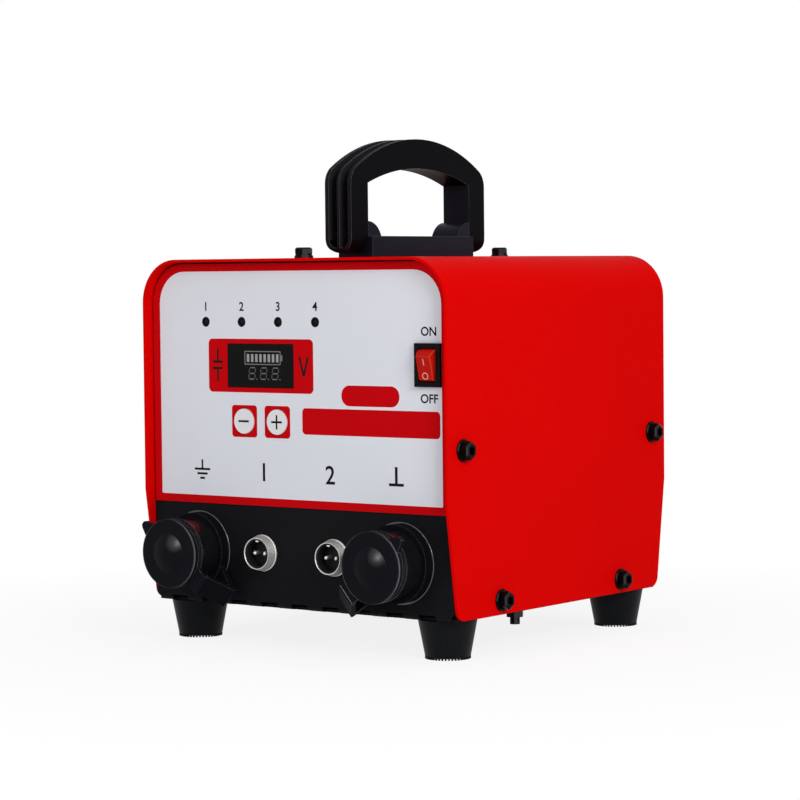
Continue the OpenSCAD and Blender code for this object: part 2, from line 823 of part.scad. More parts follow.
module chassis() {
    color("#18181c") difference() {
        chassis_sheet();
        front_holes(front_y - slip, panel_in_y + slip);
        for (s = SIDES) {
            rod_y(s * socket_x, socket_z, front_y - slip, panel_in_y + slip, socket_boss_d + 2 * seat_gap);
            rod_y(s * control_x, control_z, front_y - slip, panel_in_y + slip, shell_d + 2 * seat_gap);
        }
        rod_y(charge_x, charge_z, back_y - chassis_t - slip, back_y + slip, charge_d + 2 * seat_gap);
        for (p = SIDE_SCREWS) rod_x(p[0], p[1], -case_w, case_w, hole_d);
        for (y = FLANGE_SCREWS) {
            rod_z(0, y, chassis_top - chassis_t - slip, chassis_top + slip, hole_d);
        }
        for (sx = SIDES, sy = SIDES) {
            rod_z(sx * foot_x, mid_y + sy * foot_y, base_z - slip, floor_z + slip, hole_d);
        }
        for (p = SHELF_BOLTS) rod_z(p[0], p[1], base_z - slip, floor_z + slip, hole_d);
        for (i = [-(slot_count - 1) / 2 : (slot_count - 1) / 2], face = [front_y, back_y]) {
            box([i * slot_pitch - slot_len / 2, face - bend_r - slip, base_z - slip],
                [i * slot_pitch + slot_len / 2, face + bend_r + slip, base_z + slot_rise]);
        }
    }
}

// Front panel

module front_overlay() {
    low = base_z + overlay_up;
    high = chassis_top - overlay_margin;
    color("white") difference() {
        along_y(overlay_y, front_y) translate([0, low]) {
            arch(chassis_w - 2 * overlay_margin, high - low, panel_corner_r - overlay_margin);
        }
        front_holes(overlay_y - slip, front_y + slip);
        for (s = SIDES) {
            rod_y(s * socket_x, socket_z, overlay_y - slip, front_y + slip, socket_flange_d + 2 * seat_gap);
        }
    }
}

module display_window() {
    rim_w = window_w / 2 + window_rim;
    rim_h = window_h / 2 + window_rim;
    color("#202024") {
        box([display_x - window_w / 2, overlay_y, display_z - window_h / 2],
            [display_x + window_w / 2, panel_in_y, display_z + window_h / 2]);
        box([display_x - rim_w, panel_in_y, display_z - rim_h],
            [display_x + rim_w, panel_in_y + window_rim_t, display_z + rim_h]);
    }
}

module display_module() {
    color("#303030") box([display_x - window_w / 2, board_y - module_t, display_z - window_h / 2],
        [display_x + window_w / 2, board_y, display_z + window_h / 2]);
}

module indicator_lamps() {
    lens_y = overlay_y + lamp_d / 2 - lamp_proud;
    color("#282828") for (x = LAMPS) {
        rod_y(x, lamp_z, lens_y, board_y, lamp_d);
        translate([x, lens_y, lamp_z]) sphere(d = lamp_d);
    }
}

// Press key: face, rim behind the panel and stem into its switch
module press_key(x) {
    rod_y(x, key_z, overlay_y - key_proud, panel_in_y + key_rim_t, key_d);
    rod_y(x, key_z, panel_in_y, panel_in_y + key_rim_t, key_d + 2 * (key_gap + key_rim));
    rod_y(x, key_z, panel_in_y, board_y - key_switch_h + key_engage, key_stem_d);
}

module minus_key() {
    color("gainsboro") press_key(MINUS_X);
}

module plus_key() {
    color("gainsboro") press_key(PLUS_X);
}

module key_switches() {
    switch_y = board_y - key_switch_h;
    well_y = switch_y + key_engage + key_travel + key_gap;
    color("dimgray") for (x = [MINUS_X, PLUS_X]) difference() {
        box([x - key_switch_w / 2, switch_y, key_z - key_switch_w / 2],
            [x + key_switch_w / 2, board_y, key_z + key_switch_w / 2]);
        rod_y(x, key_z, switch_y - slip, well_y, key_stem_d + 2 * key_gap);
    }
}

module control_board() {
    color("darkgreen") difference() {
        box([display_x - board_w / 2, board_y, board_bottom],
            [display_x + board_w / 2, board_y + board_t, board_top]);
        for (p = POSTS) {
            rod_y(p[0], p[1], board_y - slip, board_y + board_t + slip, post_screw_d + 2 * screw_gap);
        }
    }
}

module board_standoffs() {
    color("silver") for (p = POSTS) difference() {
        rod_y(p[0], p[1], panel_in_y, board_y, post_d);
        rod_y(p[0], p[1], panel_in_y + post_floor, board_y + slip, post_screw_d + 2 * screw_gap);
    }
}

module board_screws() {
    head_y = board_y + board_t;
    color("silver") for (p = POSTS) {
        rod_y(p[0], p[1], head_y - post_screw_len, head_y + post_head_h, post_screw_d);
        rod_y(p[0], p[1], head_y, head_y + post_head_h, post_d);
    }
}

// Rocker switch

module rocker_housing() {
    color("#101012") difference() {
        union() {
            box([rocker_x - bezel_w / 2, overlay_y - bezel_t, rocker_z - bezel_h / 2],
                [rocker_x + bezel_w / 2, overlay_y, rocker_z + bezel_h / 2]);
            box([rocker_x - switch_w / 2, overlay_y - slip, rocker_z - switch_h / 2],
                [rocker_x + switch_w / 2, overlay_y + switch_depth, rocker_z + switch_h / 2]);
        }
        box([rocker_x - cavity_w / 2, overlay_y - bezel_t - slip, rocker_z - cavity_h / 2],
            [rocker_x + cavity_w / 2, pivot_y + cavity_depth, rocker_z + cavity_h / 2]);
        rod_x(pivot_y, rocker_z, rocker_x - switch_w / 2, rocker_x + switch_w / 2, pivot_d + 2 * pivot_gap);
    }
}

// Rocker at rest: its lower end is pressed in, its upper end stands out
module rocker() {
    far = 2 * rocker_r;
    dished = rocker_rise + far * tan(rocker_dish);
    draw = rocker_draw * (far - side_edge) / (rocker_rise - side_edge);
    color("firebrick") translate([rocker_x, pivot_y, rocker_z]) {
        rotate([rocker_throw / 2, 0, 0]) difference() {
            along_x(-rocker_w / 2, rocker_w / 2) intersection() {
                circle(rocker_r);
                polygon([
                    [rocker_depth, -far], [-dished, -far], [-rocker_rise, 0],
                    [-dished, far], [rocker_depth, far]
                ]);
            }
            for (s = SIDES) translate([s * rocker_w / 2, 0, -far]) linear_extrude(2 * far) {
                polygon([[0, -side_edge], [s * far, -side_edge], [s * far, -far], [-s * draw, -far]]);
            }
        }
        rod_x(0, 0, -pivot_end, pivot_end, pivot_d);
    }
}

module rocker_terminals() {
    blade_w = 4.8;
    blade_t = 0.8;
    from = overlay_y + switch_depth;
    color("silver") for (s = SIDES) {
        z = rocker_z + s * terminal_pitch / 2;
        box([rocker_x - blade_w / 2, from, z - blade_t / 2],
            [rocker_x + blade_w / 2, from + terminal_len, z + blade_t / 2]);
    }
}

// Power sockets

module socket_body(s) {
    color("#151517") on_socket(s) difference() {
        union() {
            cylinder(h = barrel_len, d = barrel_d);
            cylinder(h = body_len, d = body_d);
            cylinder(h = socket_flange_t, d = socket_flange_d);
            translate([0, 0, -chassis_t]) cylinder(h = chassis_t + slip, d = socket_boss_d);
        }
        translate([0, 0, contact_foot]) cylinder(h = barrel_len, d = contact_d + 2 * seat_gap);
        translate([0, 0, -chassis_t - slip]) cylinder(h = barrel_len, d = stud_d + 2 * seat_gap);
    }
}

module contact(s) {
    color("goldenrod") on_socket(s) difference() {
        union() {
            translate([0, 0, contact_foot]) cylinder(h = contact_front - contact_foot, d = contact_d);
            translate([0, 0, -chassis_t - stud_len]) {
                cylinder(h = chassis_t + stud_len + contact_foot + slip, d = stud_d);
            }
        }
        translate([0, 0, bore_floor]) cylinder(h = barrel_len, d = contact_bore);
    }
}

module left_socket_body() {
    socket_body(LEFT);
}

module right_socket_body() {
    socket_body(RIGHT);
}

module left_contact() {
    contact(LEFT);
}

module right_contact() {
    contact(RIGHT);
}

module socket_washers() {
    color("black") for (s = SIDES) difference() {
        rod_y(s * socket_x, socket_z, washer_y, busbar_y, washer_d);
        rod_y(s * socket_x, socket_z, washer_y - slip, busbar_y + slip, stud_d + 2 * seat_gap);
    }
}

module socket_nuts() {
    color("goldenrod") for (s = SIDES) {
        translate([s * socket_x, stud_nut_y + stud_nut_h, socket_z]) rotate([90, 0, 0]) {
            hex_nut(stud_nut_af, stud_nut_h, stud_d + 2 * seat_gap);
        }
    }
}

// Copper bar from a stud, up and back on to the power board
module busbar(s) {
    x0 = s * socket_x - busbar_w / 2;
    x1 = s * socket_x + busbar_w / 2;
    rest = mid_y - power_d / 2 + 8;
    color("#b87333") difference() {
        union() {
            box([x0, busbar_y, socket_z - busbar_w / 2], [x1, busbar_y + busbar_t, busbar_level + busbar_t]);
            box([x0, busbar_y, busbar_level], [x1, busbar_rise, busbar_level + busbar_t]);
            box([x0, busbar_rise - busbar_t, busbar_level], [x1, busbar_rise, power_top + busbar_t]);
            box([x0, busbar_rise - busbar_t, power_top], [x1, rest, power_top + busbar_t]);
        }
        rod_y(s * socket_x, socket_z, busbar_y - slip, busbar_y + busbar_t + slip, stud_d + 2 * seat_gap);
    }
}

module earth_busbar() {
    busbar(LEFT);
}

module gun_busbar() {
    busbar(RIGHT);
}

// Rubber caps

// A straight (strap direction, outward) run of a strap between two points
module strap_run(from, to) {
    way = (to - from) / norm(to - from);
    across = [-way[1], way[0]] * strap_t / 2;
    polygon([from + across, from - across, to - across, to + across]);
}

// Ring round the socket's body, with the strap that folds on its way out to the cap's hinge line
module cap_ring(s) {
    root = [ring_d / 2 - strap_t / 2, ring_foot + ring_h / 2];
    fold_at = [fold_reach, fold_out];
    hinge_at = [hinge_reach, hinge_out];
    color("#1c1c1e") on_socket(s) {
        difference() {
            translate([0, 0, ring_foot]) cylinder(h = ring_h, d = ring_d);
            translate([0, 0, -slip]) cylinder(h = barrel_len, d = body_d + 2 * seat_gap);
        }
        strap_wide(strap_w) difference() {
            union() {
                strap_run(root, fold_at);
                strap_run(hinge_at, fold_at);
                translate(fold_at) circle(fold_r);
            }
            translate(hinge_at) circle(roll_r + roll_gap);
        }
    }
}

// Cap: disc with dome, ribbed skirt, finger tab and the ear that ends in the rolled hinge
module cap(s) {
    rim = cap_d / 2;
    tab_root = 3 - rim;
    tab_half = tab_tip_w / 2;
    dome_r = (dome_d * dome_d / 4 + dome_h * dome_h) / (2 * dome_h);
    skirt_r = skirt_d / 2;
    rib_r = skirt_r + skirt_rib_h;
    ear_low = hinge_out - 0.25 * ear_t;
    ear_half = strap_w / 2;
    ear_side = ear_half + ear_round;
    round_at = sqrt(pow(rim - ear_bite + ear_round, 2) - pow(ear_side, 2));
    lean = atan(ear_side / round_at);
    color("#1c1c1e") on_socket(s) {
        rotate_extrude() polygon(concat(
            [[0, cap_back], [skirt_bore / 2, cap_back], [skirt_bore / 2, skirt_back]],
            [for (i = [0 : skirt_ribs - 1], p = [[rib_r, 0], [rib_r, skirt_rib_w], [skirt_r, skirt_rib_w],
                [skirt_r, rib_pitch]]) p + [0, skirt_back + i * rib_pitch]],
            [[rim, cap_back], [rim, cap_front - cap_edge], [rim - cap_edge, cap_front], [0, cap_front]]
        ));
        intersection() {
            translate([0, 0, cap_front + dome_h - dome_r]) sphere(dome_r);
            translate([0, 0, cap_front - slip]) cylinder(h = dome_h + 2 * slip, d = cap_d);
        }
        translate([0, 0, cap_back]) linear_extrude(tab_t) polygon([
            [tab_root, tab_w / 2], [tab_bevel - tab_reach, tab_half], [-tab_reach, tab_half - tab_bevel],
            [-tab_reach, tab_bevel - tab_half], [tab_bevel - tab_reach, -tab_half], [tab_root, -tab_w / 2]
        ]);
        translate([0, 0, ear_low]) linear_extrude(ear_t) polygon(concat(
            arc([round_at, ear_side], ear_round, 180 + lean, 270),
            [[hinge_reach, ear_half], [hinge_reach, -ear_half]],
            arc([round_at, -ear_side], ear_round, 90, 180 - lean)
        ));
        strap_wide(strap_w) translate([hinge_reach, hinge_out]) circle(roll_r);
    }
}

module left_cap_ring() {
    cap_ring(LEFT);
}

module right_cap_ring() {
    cap_ring(RIGHT);
}

module left_cap() {
    cap(LEFT);
}

module right_cap() {
    cap(RIGHT);
}

// Control sockets

module control_socket(s) {
    inside = shell_bore / 2;
    color("lightgray") on_front(s * control_x, control_z) {
        difference() {
            union() {
                translate([0, 0, -shell_tail]) cylinder(h = shell_tail + shell_out, d = shell_d);
                cylinder(h = shell_flange_t, d = shell_flange_d);
            }
            translate([0, 0, -shell_tail - slip]) {
                cylinder(h = shell_tail + shell_out + 2 * slip, d = shell_bore);
            }
        }
        box([-shell_key_w / 2, inside - shell_key_h, 0], [shell_key_w / 2, inside + slip, shell_out - 0.8]);
    }
}

module left_control_socket() {
    control_socket(LEFT);
}

module right_control_socket() {
    control_socket(RIGHT);
}

// Insulating insert: fills the shell from behind and rests on its rear end
module control_inserts() {
    color("black") for (s = SIDES) on_front(s * control_x, control_z) difference() {
        union() {
            translate([0, 0, -shell_tail - slip]) {
                cylinder(h = shell_tail + slip - insert_set_back, d = shell_bore - 2 * seat_gap);
            }
            translate([0, 0, -shell_tail - insert_rim]) cylinder(h = insert_rim, d = shell_d);
        }
        for (p = SIDES) translate([p * pin_pitch / 2, 0, -shell_tail - insert_rim - slip]) {
            cylinder(h = shell_tail + insert_rim + slip, d = pin_d + 2 * seat_gap);
        }
    }
}

module control_pins() {
    tail = 4;
    collar_t = 1;
    foot = -shell_tail - insert_rim;
    tip = pin_out - insert_set_back - pin_d / 2;
    color("silver") for (s = SIDES, p = SIDES) on_front(s * control_x + p * pin_pitch / 2, control_z) {
        translate([0, 0, foot - tail]) cylinder(h = tip - foot + tail, d = pin_d);
        translate([0, 0, foot - collar_t]) cylinder(h = collar_t, d = pin_d + 4 * seat_gap);
        translate([0, 0, tip]) sphere(d = pin_d);
    }
}

module control_nuts() {
    color("silver") for (s = SIDES) translate([s * control_x, panel_in_y + shell_nut_t, control_z]) {
        rotate([90, 0, 0]) hex_nut(shell_nut_af, shell_nut_t, shell_d + 2 * seat_gap);
    }
}

// Handle

// Outline of the arch over the cover, drawn in by an inset
module arch_outline(inset) {
    half = handle_len / 2 - inset;
    r = crown_r - inset;
    f = shoulder_r - inset;
    crown_at = handle_top - crown_r;
    shoulder_up = sqrt(pow(r - f, 2) - pow(half - f, 2));
    reach = r / (r - f);
    turn = [(half - f) * reach, crown_at + shoulder_up * reach];
    polygon([
        [-half, leg_gap + leg_t / 2], [half, leg_gap + leg_t / 2], [half, crown_at + shoulder_up], turn,
        [-turn[0], turn[1]], [-half, crown_at + shoulder_up]
    ]);
    for (s = SIDES) translate([s * (half - f), crown_at + shoulder_up]) circle(f);
    intersection() {
        translate([0, crown_at]) circle(r);
        translate([-turn[0], turn[1] - slip]) square([2 * turn[0], handle_top]);
    }
}

// Space under the grip, between the legs
module hand_gap() {
    half = handle_len / 2 - leg_t;
    intersection() {
        translate([-half, 0]) square([2 * half, handle_top]);
        translate([0, handle_top - grip_t - gap_r]) circle(gap_r);
    }
}

// Front view of the handle, drawn in by an inset: straight sides that round in at the bottom
module leg_outline(inset) {
    half = handle_w / 2 - inset;
    r = leg_round - inset;
    round_at = leg_gap + leg_round;
    polygon(concat(
        [[-half, 2 * handle_top]],
        arc([r - half, round_at], r, 180, 270),
        arc([half - r, round_at], r, 270, 360),
        [[half, 2 * handle_top]]
    ));
}

// Side view of a leg's lower end
module leg_foot() {
    half = leg_t / 2;
    foot_at = leg_gap + leg_foot_r;
    polygon(concat(
        [[-half, leg_gap + leg_t]],
        arc([leg_foot_r - half, foot_at], leg_foot_r, 180, 270),
        arc([half - leg_foot_r, foot_at], leg_foot_r, 270, 360),
        [[half, leg_gap + leg_t]]
    ));
}

module handle() {
    groove_x = (fin_t + groove_w) / 2;
    groove_rim = (handle_w - fin_t) / 2 - groove_w;
    color("#161618") translate([0, handle_y, top_z]) difference() {
        intersection() {
            along_x(-handle_w, handle_w) difference() {
                union() {
                    arch_outline(0);
                    for (s = SIDES) translate([s * (handle_len - leg_t) / 2, 0]) leg_foot();
                }
                hand_gap();
            }
            along_y(-handle_len, handle_len) leg_outline(0);
        }
        for (s = SIDES) intersection() {
            along_x(min(s * fin_t / 2, s * handle_w), max(s * fin_t / 2, s * handle_w)) difference() {
                translate([-handle_len, groove_foot]) square([2 * handle_len, 2 * handle_top]);
                arch_outline(groove_depth);
            }
            along_y(-2 * handle_len, 2 * handle_len) leg_outline(groove_rim);
        }
        for (s = SIDES) {
            rod_y(s * groove_x, grip_screw_up, -handle_len, handle_len, grip_screw_d + 2 * screw_gap);
        }
    }
}

module handle_base() {
    groove_x = (fin_t + groove_w) / 2;
    half = handle_len / 2 - leg_t;
    hole_len = grip_screw_len - leg_t + groove_depth + slip;
    color("#1d1d22") translate([0, handle_y, top_z]) difference() {
        union() {
            box([-base_w / 2, -half, 0], [base_w / 2, half, base_h]);
            along_x(-handle_w / 2, handle_w / 2) intersection() {
                for (s = SIDES) translate([s * half, boss_up]) circle(boss_r);
                translate([-half, 0]) square([2 * half, handle_top]);
            }
        }
        for (sx = SIDES, sy = SIDES) {
            from = sy == LEFT ? -half - slip : half - hole_len;
            to = sy == LEFT ? hole_len - half : half + slip;
            rod_y(sx * groove_x, grip_screw_up, from, to, grip_screw_d + 2 * screw_gap);
        }
        for (s = SIDES) rod_z(0, s * base_screw_span / 2, -slip, base_screw_grip + slip, hole_d);
    }
}

module handle_screws() {
    groove_x = (fin_t + groove_w) / 2;
    seat = handle_len / 2 - groove_depth;
    color("silver") translate([0, handle_y, top_z]) for (sx = SIDES, sy = SIDES) {
        translate([sx * groove_x, sy * seat, grip_screw_up]) rotate([-sy * 90, 0, 0]) {
            cylinder(h = grip_head_h, d = grip_head_d);
            translate([0, 0, -grip_screw_len]) cylinder(h = grip_screw_len + slip, d = grip_screw_d);
        }
    }
}

module handle_base_screws() {
    under = top_z - cover_t;
    color("silver") for (y = BASE_SCREWS) {
        rod_z(0, y, under - base_head_h, under, base_head_d);
        rod_z(0, y, under - base_head_h, top_z + base_screw_grip, screw_d);
    }
}

// Fasteners of the case

module side_screws() {
    color("#141416") for (s = SIDES, p = SIDE_SCREWS) on_side(s, p[0], p[1], case_w / 2) case_screw();
}

module top_screws() {
    color("#141416") for (y = FLANGE_SCREWS) translate([0, y, top_z]) case_screw();
}

module clinch_nuts() {
    face = flange_face - chassis_t;
    color("silver") {
        for (s = SIDES, p = SIDE_SCREWS) on_side(s, p[0], p[1], face - clinch_t) difference() {
            cylinder(h = clinch_t, d = clinch_d);
            translate([0, 0, -slip]) cylinder(h = clinch_t + 2 * slip, d = hole_d);
        }
        for (y = FLANGE_SCREWS) difference() {
            rod_z(0, y, chassis_top - chassis_t - clinch_t, chassis_top - chassis_t, clinch_d);
            rod_z(0, y, chassis_top - chassis_t - clinch_t - slip, chassis_top, hole_d);
        }
    }
}

// Feet

module foot(sx, sy) {
    hole_r = hole_d / 2;
    bore_r = foot_bore_d / 2;
    color("#17171a") translate([sx * foot_x, mid_y + sy * foot_y, 0]) rotate_extrude() polygon([
        [bore_r, 0], [foot_bottom_d / 2, 0], [foot_top_d / 2, foot_h],
        [hole_r, foot_h], [hole_r, foot_bore_depth], [bore_r, foot_bore_depth]
    ]);
}

module foot_front_left() {
    foot(LEFT, LEFT);
}

module foot_front_right() {
    foot(RIGHT, LEFT);
}

module foot_rear_left() {
    foot(LEFT, RIGHT);
}

module foot_rear_right() {
    foot(RIGHT, RIGHT);
}

module foot_screws() {
    color("silver") for (sx = SIDES, sy = SIDES) {
        rod_z(sx * foot_x, mid_y + sy * foot_y, foot_bore_depth - foot_head_h, foot_bore_depth, foot_head_d);
        rod_z(sx * foot_x, mid_y + sy * foot_y, foot_bore_depth - slip, floor_z + nut_h + 1, screw_d);
    }
}

module foot_nuts() {
    color("silver") for (sx = SIDES, sy = SIDES) {
        translate([sx * foot_x, mid_y + sy * foot_y, floor_z]) hex_nut(nut_af, nut_h, hole_d);
    }
}

// Battery

module battery_cells() {
    color("steelblue") for (p = CELLS) rod_z(p[0], p[1], cell_z, cell_top, cell_d);
}

module cell_holder(from, pocket_from) {
    difference() {
        box([-pack_w / 2, mid_y - pack_d / 2, from], [pack_w / 2, mid_y + pack_d / 2, from + holder_h]);
        for (p = CELLS) rod_z(p[0], p[1], pocket_from, from + holder_h + slip, cell_d + 2 * seat_gap);
    }
}

module lower_cell_holder() {
    color("#26262a") cell_holder(floor_z, cell_z);
}

module upper_cell_holder() {
    color("#26262a") cell_holder(cell_top - holder_h, cell_top - holder_h - slip);
}

// One link over each front and rear pair of cells
module cell_links() {
    link_half = cell_pitch / 2 + link_over;
    color("silver") for (i = [0 : cell_columns - 1]) {
        x = (i - (cell_columns - 1) / 2) * cell_pitch;
        box([x - link_w / 2, mid_y - link_half, cell_top], [x + link_w / 2, mid_y + link_half, link_top]);
    }
}

// Two leads from the outer links, round the shelf's back edge and on to the power board
module battery_leads() {
    inner = mid_y + cell_pitch / 2;
    color("#b87333") for (s = SIDES) {
        x0 = s * lead_x - lead_w / 2;
        x1 = s * lead_x + lead_w / 2;
        box([x0, inner, link_top], [x1, lead_back + lead_t, link_top + lead_t]);
        box([x0, lead_back, link_top], [x1, lead_back + lead_t, power_top + lead_t]);
        box([x0, mid_y + power_d / 2 - 8, power_top], [x1, lead_back + lead_t, power_top + lead_t]);
    }
}

// Shelf and power board

module shelf() {
    outer = shelf_leg + shelf_t;
    toe = shelf_leg + shelf_foot;
    from = mid_y - shelf_w / 2;
    to = mid_y + shelf_w / 2;
    color("lightslategray") difference() {
        union() {
            box([-outer, from, shelf_z], [outer, to, shelf_top]);
            for (s = SIDES) {
                box([min(s * shelf_leg, s * outer), from, floor_z],
                    [max(s * shelf_leg, s * outer), to, shelf_top]);
                box([min(s * shelf_leg, s * toe), from, floor_z],
                    [max(s * shelf_leg, s * toe), to, floor_z + shelf_t]);
            }
        }
        for (p = SHELF_BOLTS) rod_z(p[0], p[1], floor_z - slip, floor_z + shelf_t + slip, hole_d);
    }
}

module shelf_bolts() {
    seat = floor_z + shelf_t;
    color("#2a2a2c") for (p = SHELF_BOLTS) {
        translate([p[0], p[1], seat]) hexagon(screw_af, screw_head_h);
        rod_z(p[0], p[1], base_z - bolt_below, seat + slip, screw_d);
    }
}

module shelf_nuts() {
    color("#2a2a2c") for (p = SHELF_BOLTS) difference() {
        union() {
            translate([p[0], p[1], base_z - screw_flange_t - nut_h]) hexagon(nut_af, nut_h + slip);
            rod_z(p[0], p[1], base_z - screw_flange_t, base_z, screw_flange_d);
        }
        rod_z(p[0], p[1], base_z - bolt_below, base_z + slip, hole_d);
    }
}

module power_board() {
    color("darkgreen") box([-power_w / 2, mid_y - power_d / 2, power_z],
        [power_w / 2, mid_y + power_d / 2, power_top]);
}

module board_posts() {
    color("silver") for (p = POWER_POSTS) rod_z(p[0], p[1], shelf_top, power_z, post_d);
}

module power_transistors() {
    color("#101010") for (i = [0 : transistor_count - 1]) {
        x = (i - (transistor_count - 1) / 2) * transistor_pitch;
        box([x - transistor_w / 2, mid_y - transistor_d / 2, power_top],
            [x + transistor_w / 2, mid_y + transistor_d / 2, sink_z]);
    }
}

module heat_sink() {
    fin_pitch = (sink_w - sink_fin_t) / (sink_fins - 1);
    from = mid_y - sink_d / 2;
    to = mid_y + sink_d / 2;
    color("silver") {
        box([-sink_w / 2, from, sink_z], [sink_w / 2, to, sink_z + sink_base]);
        for (i = [0 : sink_fins - 1]) {
            x = i * fin_pitch - sink_w / 2;
            box([x, from, sink_z], [x + sink_fin_t, to, sink_z + sink_base + sink_fin_h]);
        }
    }
}

// Charging socket on the rear panel

module charge_socket() {
    well_y = back_y - charge_in + charge_floor;
    color("lightgray") {
        difference() {
            union() {
                rod_y(charge_x, charge_z, back_y - chassis_t - charge_in, back_y + charge_out, charge_d);
                rod_y(charge_x, charge_z, back_y, back_y + charge_flange_t, charge_flange_d);
            }
            rod_y(charge_x, charge_z, well_y, back_y + charge_out + slip, charge_bore);
        }
        rod_y(charge_x, charge_z, back_y - charge_in, back_y + charge_out - 1, charge_pin_d);
    }
}

module charge_nut() {
    color("silver") translate([charge_x, back_y - chassis_t, charge_z]) rotate([90, 0, 0]) {
        hex_nut(charge_flange_d, charge_nut_t, charge_d + 2 * seat_gap);
    }
}

cover();
chassis();
front_overlay();
display_window();
display_module();
indicator_lamps();
minus_key();
plus_key();
key_switches();
control_board();
board_standoffs();
board_screws();
rocker_housing();
rocker();
rocker_terminals();
left_socket_body();
right_socket_body();
left_contact();
right_contact();
socket_washers();
socket_nuts();
earth_busbar();
gun_busbar();
left_cap_ring();
right_cap_ring();
left_cap();
right_cap();
left_control_socket();
right_control_socket();
control_inserts();
control_pins();
control_nuts();
handle();
handle_base();
handle_screws();
handle_base_screws();
side_screws();
top_screws();
clinch_nuts();
foot_front_left();
foot_front_right();
foot_rear_left();
foot_rear_right();
foot_screws();
foot_nuts();
battery_cells();
lower_cell_holder();
upper_cell_holder();
cell_links();
battery_leads();
shelf();
shelf_bolts();
shelf_nuts();
power_board();
board_posts();
power_transistors();
heat_sink();
charge_socket();
charge_nut();
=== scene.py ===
"""Looks of a portable stud welder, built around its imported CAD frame. Metres, +Z up, front at -Y."""
import json
import math

import bmesh
import bpy
from mathutils import Matrix, Vector

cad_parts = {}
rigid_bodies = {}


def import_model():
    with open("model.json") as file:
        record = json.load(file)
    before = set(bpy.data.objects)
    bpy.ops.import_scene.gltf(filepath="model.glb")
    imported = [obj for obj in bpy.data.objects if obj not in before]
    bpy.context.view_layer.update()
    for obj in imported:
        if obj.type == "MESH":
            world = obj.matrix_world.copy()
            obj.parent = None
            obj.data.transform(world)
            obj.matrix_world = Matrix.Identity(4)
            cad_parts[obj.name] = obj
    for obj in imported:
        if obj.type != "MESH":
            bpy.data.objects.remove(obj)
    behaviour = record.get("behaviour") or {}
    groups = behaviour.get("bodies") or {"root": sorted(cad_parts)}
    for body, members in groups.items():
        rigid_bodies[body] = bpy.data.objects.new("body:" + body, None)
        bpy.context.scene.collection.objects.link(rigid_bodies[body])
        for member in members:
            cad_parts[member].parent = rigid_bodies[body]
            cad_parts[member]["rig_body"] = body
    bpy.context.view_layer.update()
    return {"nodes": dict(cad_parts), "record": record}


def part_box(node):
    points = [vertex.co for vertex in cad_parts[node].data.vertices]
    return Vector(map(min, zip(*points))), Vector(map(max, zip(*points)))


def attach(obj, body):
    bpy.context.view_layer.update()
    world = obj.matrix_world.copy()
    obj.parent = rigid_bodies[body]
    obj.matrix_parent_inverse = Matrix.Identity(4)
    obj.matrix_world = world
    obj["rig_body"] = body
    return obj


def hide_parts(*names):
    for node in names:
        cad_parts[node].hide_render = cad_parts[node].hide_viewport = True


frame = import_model()
nodes = frame["nodes"]
record = frame["record"]
scene = bpy.context.scene
scene.view_settings.view_transform = "Standard"

MM = 0.001
SIDES = ("left_", "right_")
MATERIAL_SLOTS = [material["slot"] for material in record["materials"]]
NODE_SLOTS = {part["node"]: part["material_slot"] for part in record["subparts"]}


def box_mm(node):
    """Lower and upper corner of a node's box, in mm."""
    low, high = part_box(node)
    return low / MM, high / MM


def middle(node):
    """Middle of a node's box, in mm."""
    low, high = box_mm(node)
    return (low + high) / 2


def in_scene(name, data):
    made = bpy.data.objects.new(name, data)
    scene.collection.objects.link(made)
    return made


# Camera: the viewing angle of the picture, turned a little about its own axis

CAMERA_PLACE = (0.867253, -1.146642, 0.188515)
CAMERA_AZIMUTH = 0.6457718
CAMERA_ELEVATION = 0.046894
CAMERA_ROLL = -0.0102044
CAMERA_LENS = 124.523
CAMERA_SENSOR = 36
CAMERA_CLIP = (0.05, 30)


def camera_axes():
    """Right, up and back of the camera, from its three angles in radians."""
    sideways, ahead = math.sin(CAMERA_AZIMUTH), math.cos(CAMERA_AZIMUTH)
    level = Vector((ahead, sideways, 0))
    flat = math.cos(CAMERA_ELEVATION)
    back = Vector((sideways * flat, -ahead * flat, math.sin(CAMERA_ELEVATION)))
    upright = back.cross(level)
    right = level * math.cos(CAMERA_ROLL) + upright * math.sin(CAMERA_ROLL)
    up = upright * math.cos(CAMERA_ROLL) - level * math.sin(CAMERA_ROLL)
    return right, up, back


def place_camera():
    data = bpy.data.cameras.new("camera")
    data.sensor_fit = "HORIZONTAL"
    data.sensor_width = CAMERA_SENSOR
    data.lens = CAMERA_LENS
    data.clip_start, data.clip_end = CAMERA_CLIP
    camera = in_scene("camera", data)
    camera.matrix_world = Matrix.Translation(CAMERA_PLACE) @ Matrix(camera_axes()).transposed().to_4x4()
    scene.camera = camera


place_camera()


# Shader maths

class Value:
    """A shader socket that takes part in Python expressions."""

    def __init__(self, finish, socket):
        self.finish = finish
        self.socket = socket

    def math(self, operation, other):
        return self.finish.node("ShaderNodeMath", {"operation": operation}, {0: self, 1: other})

    def __add__(self, other):
        return self.math("ADD", other)

    def __mul__(self, other):
        return self.math("MULTIPLY", other)


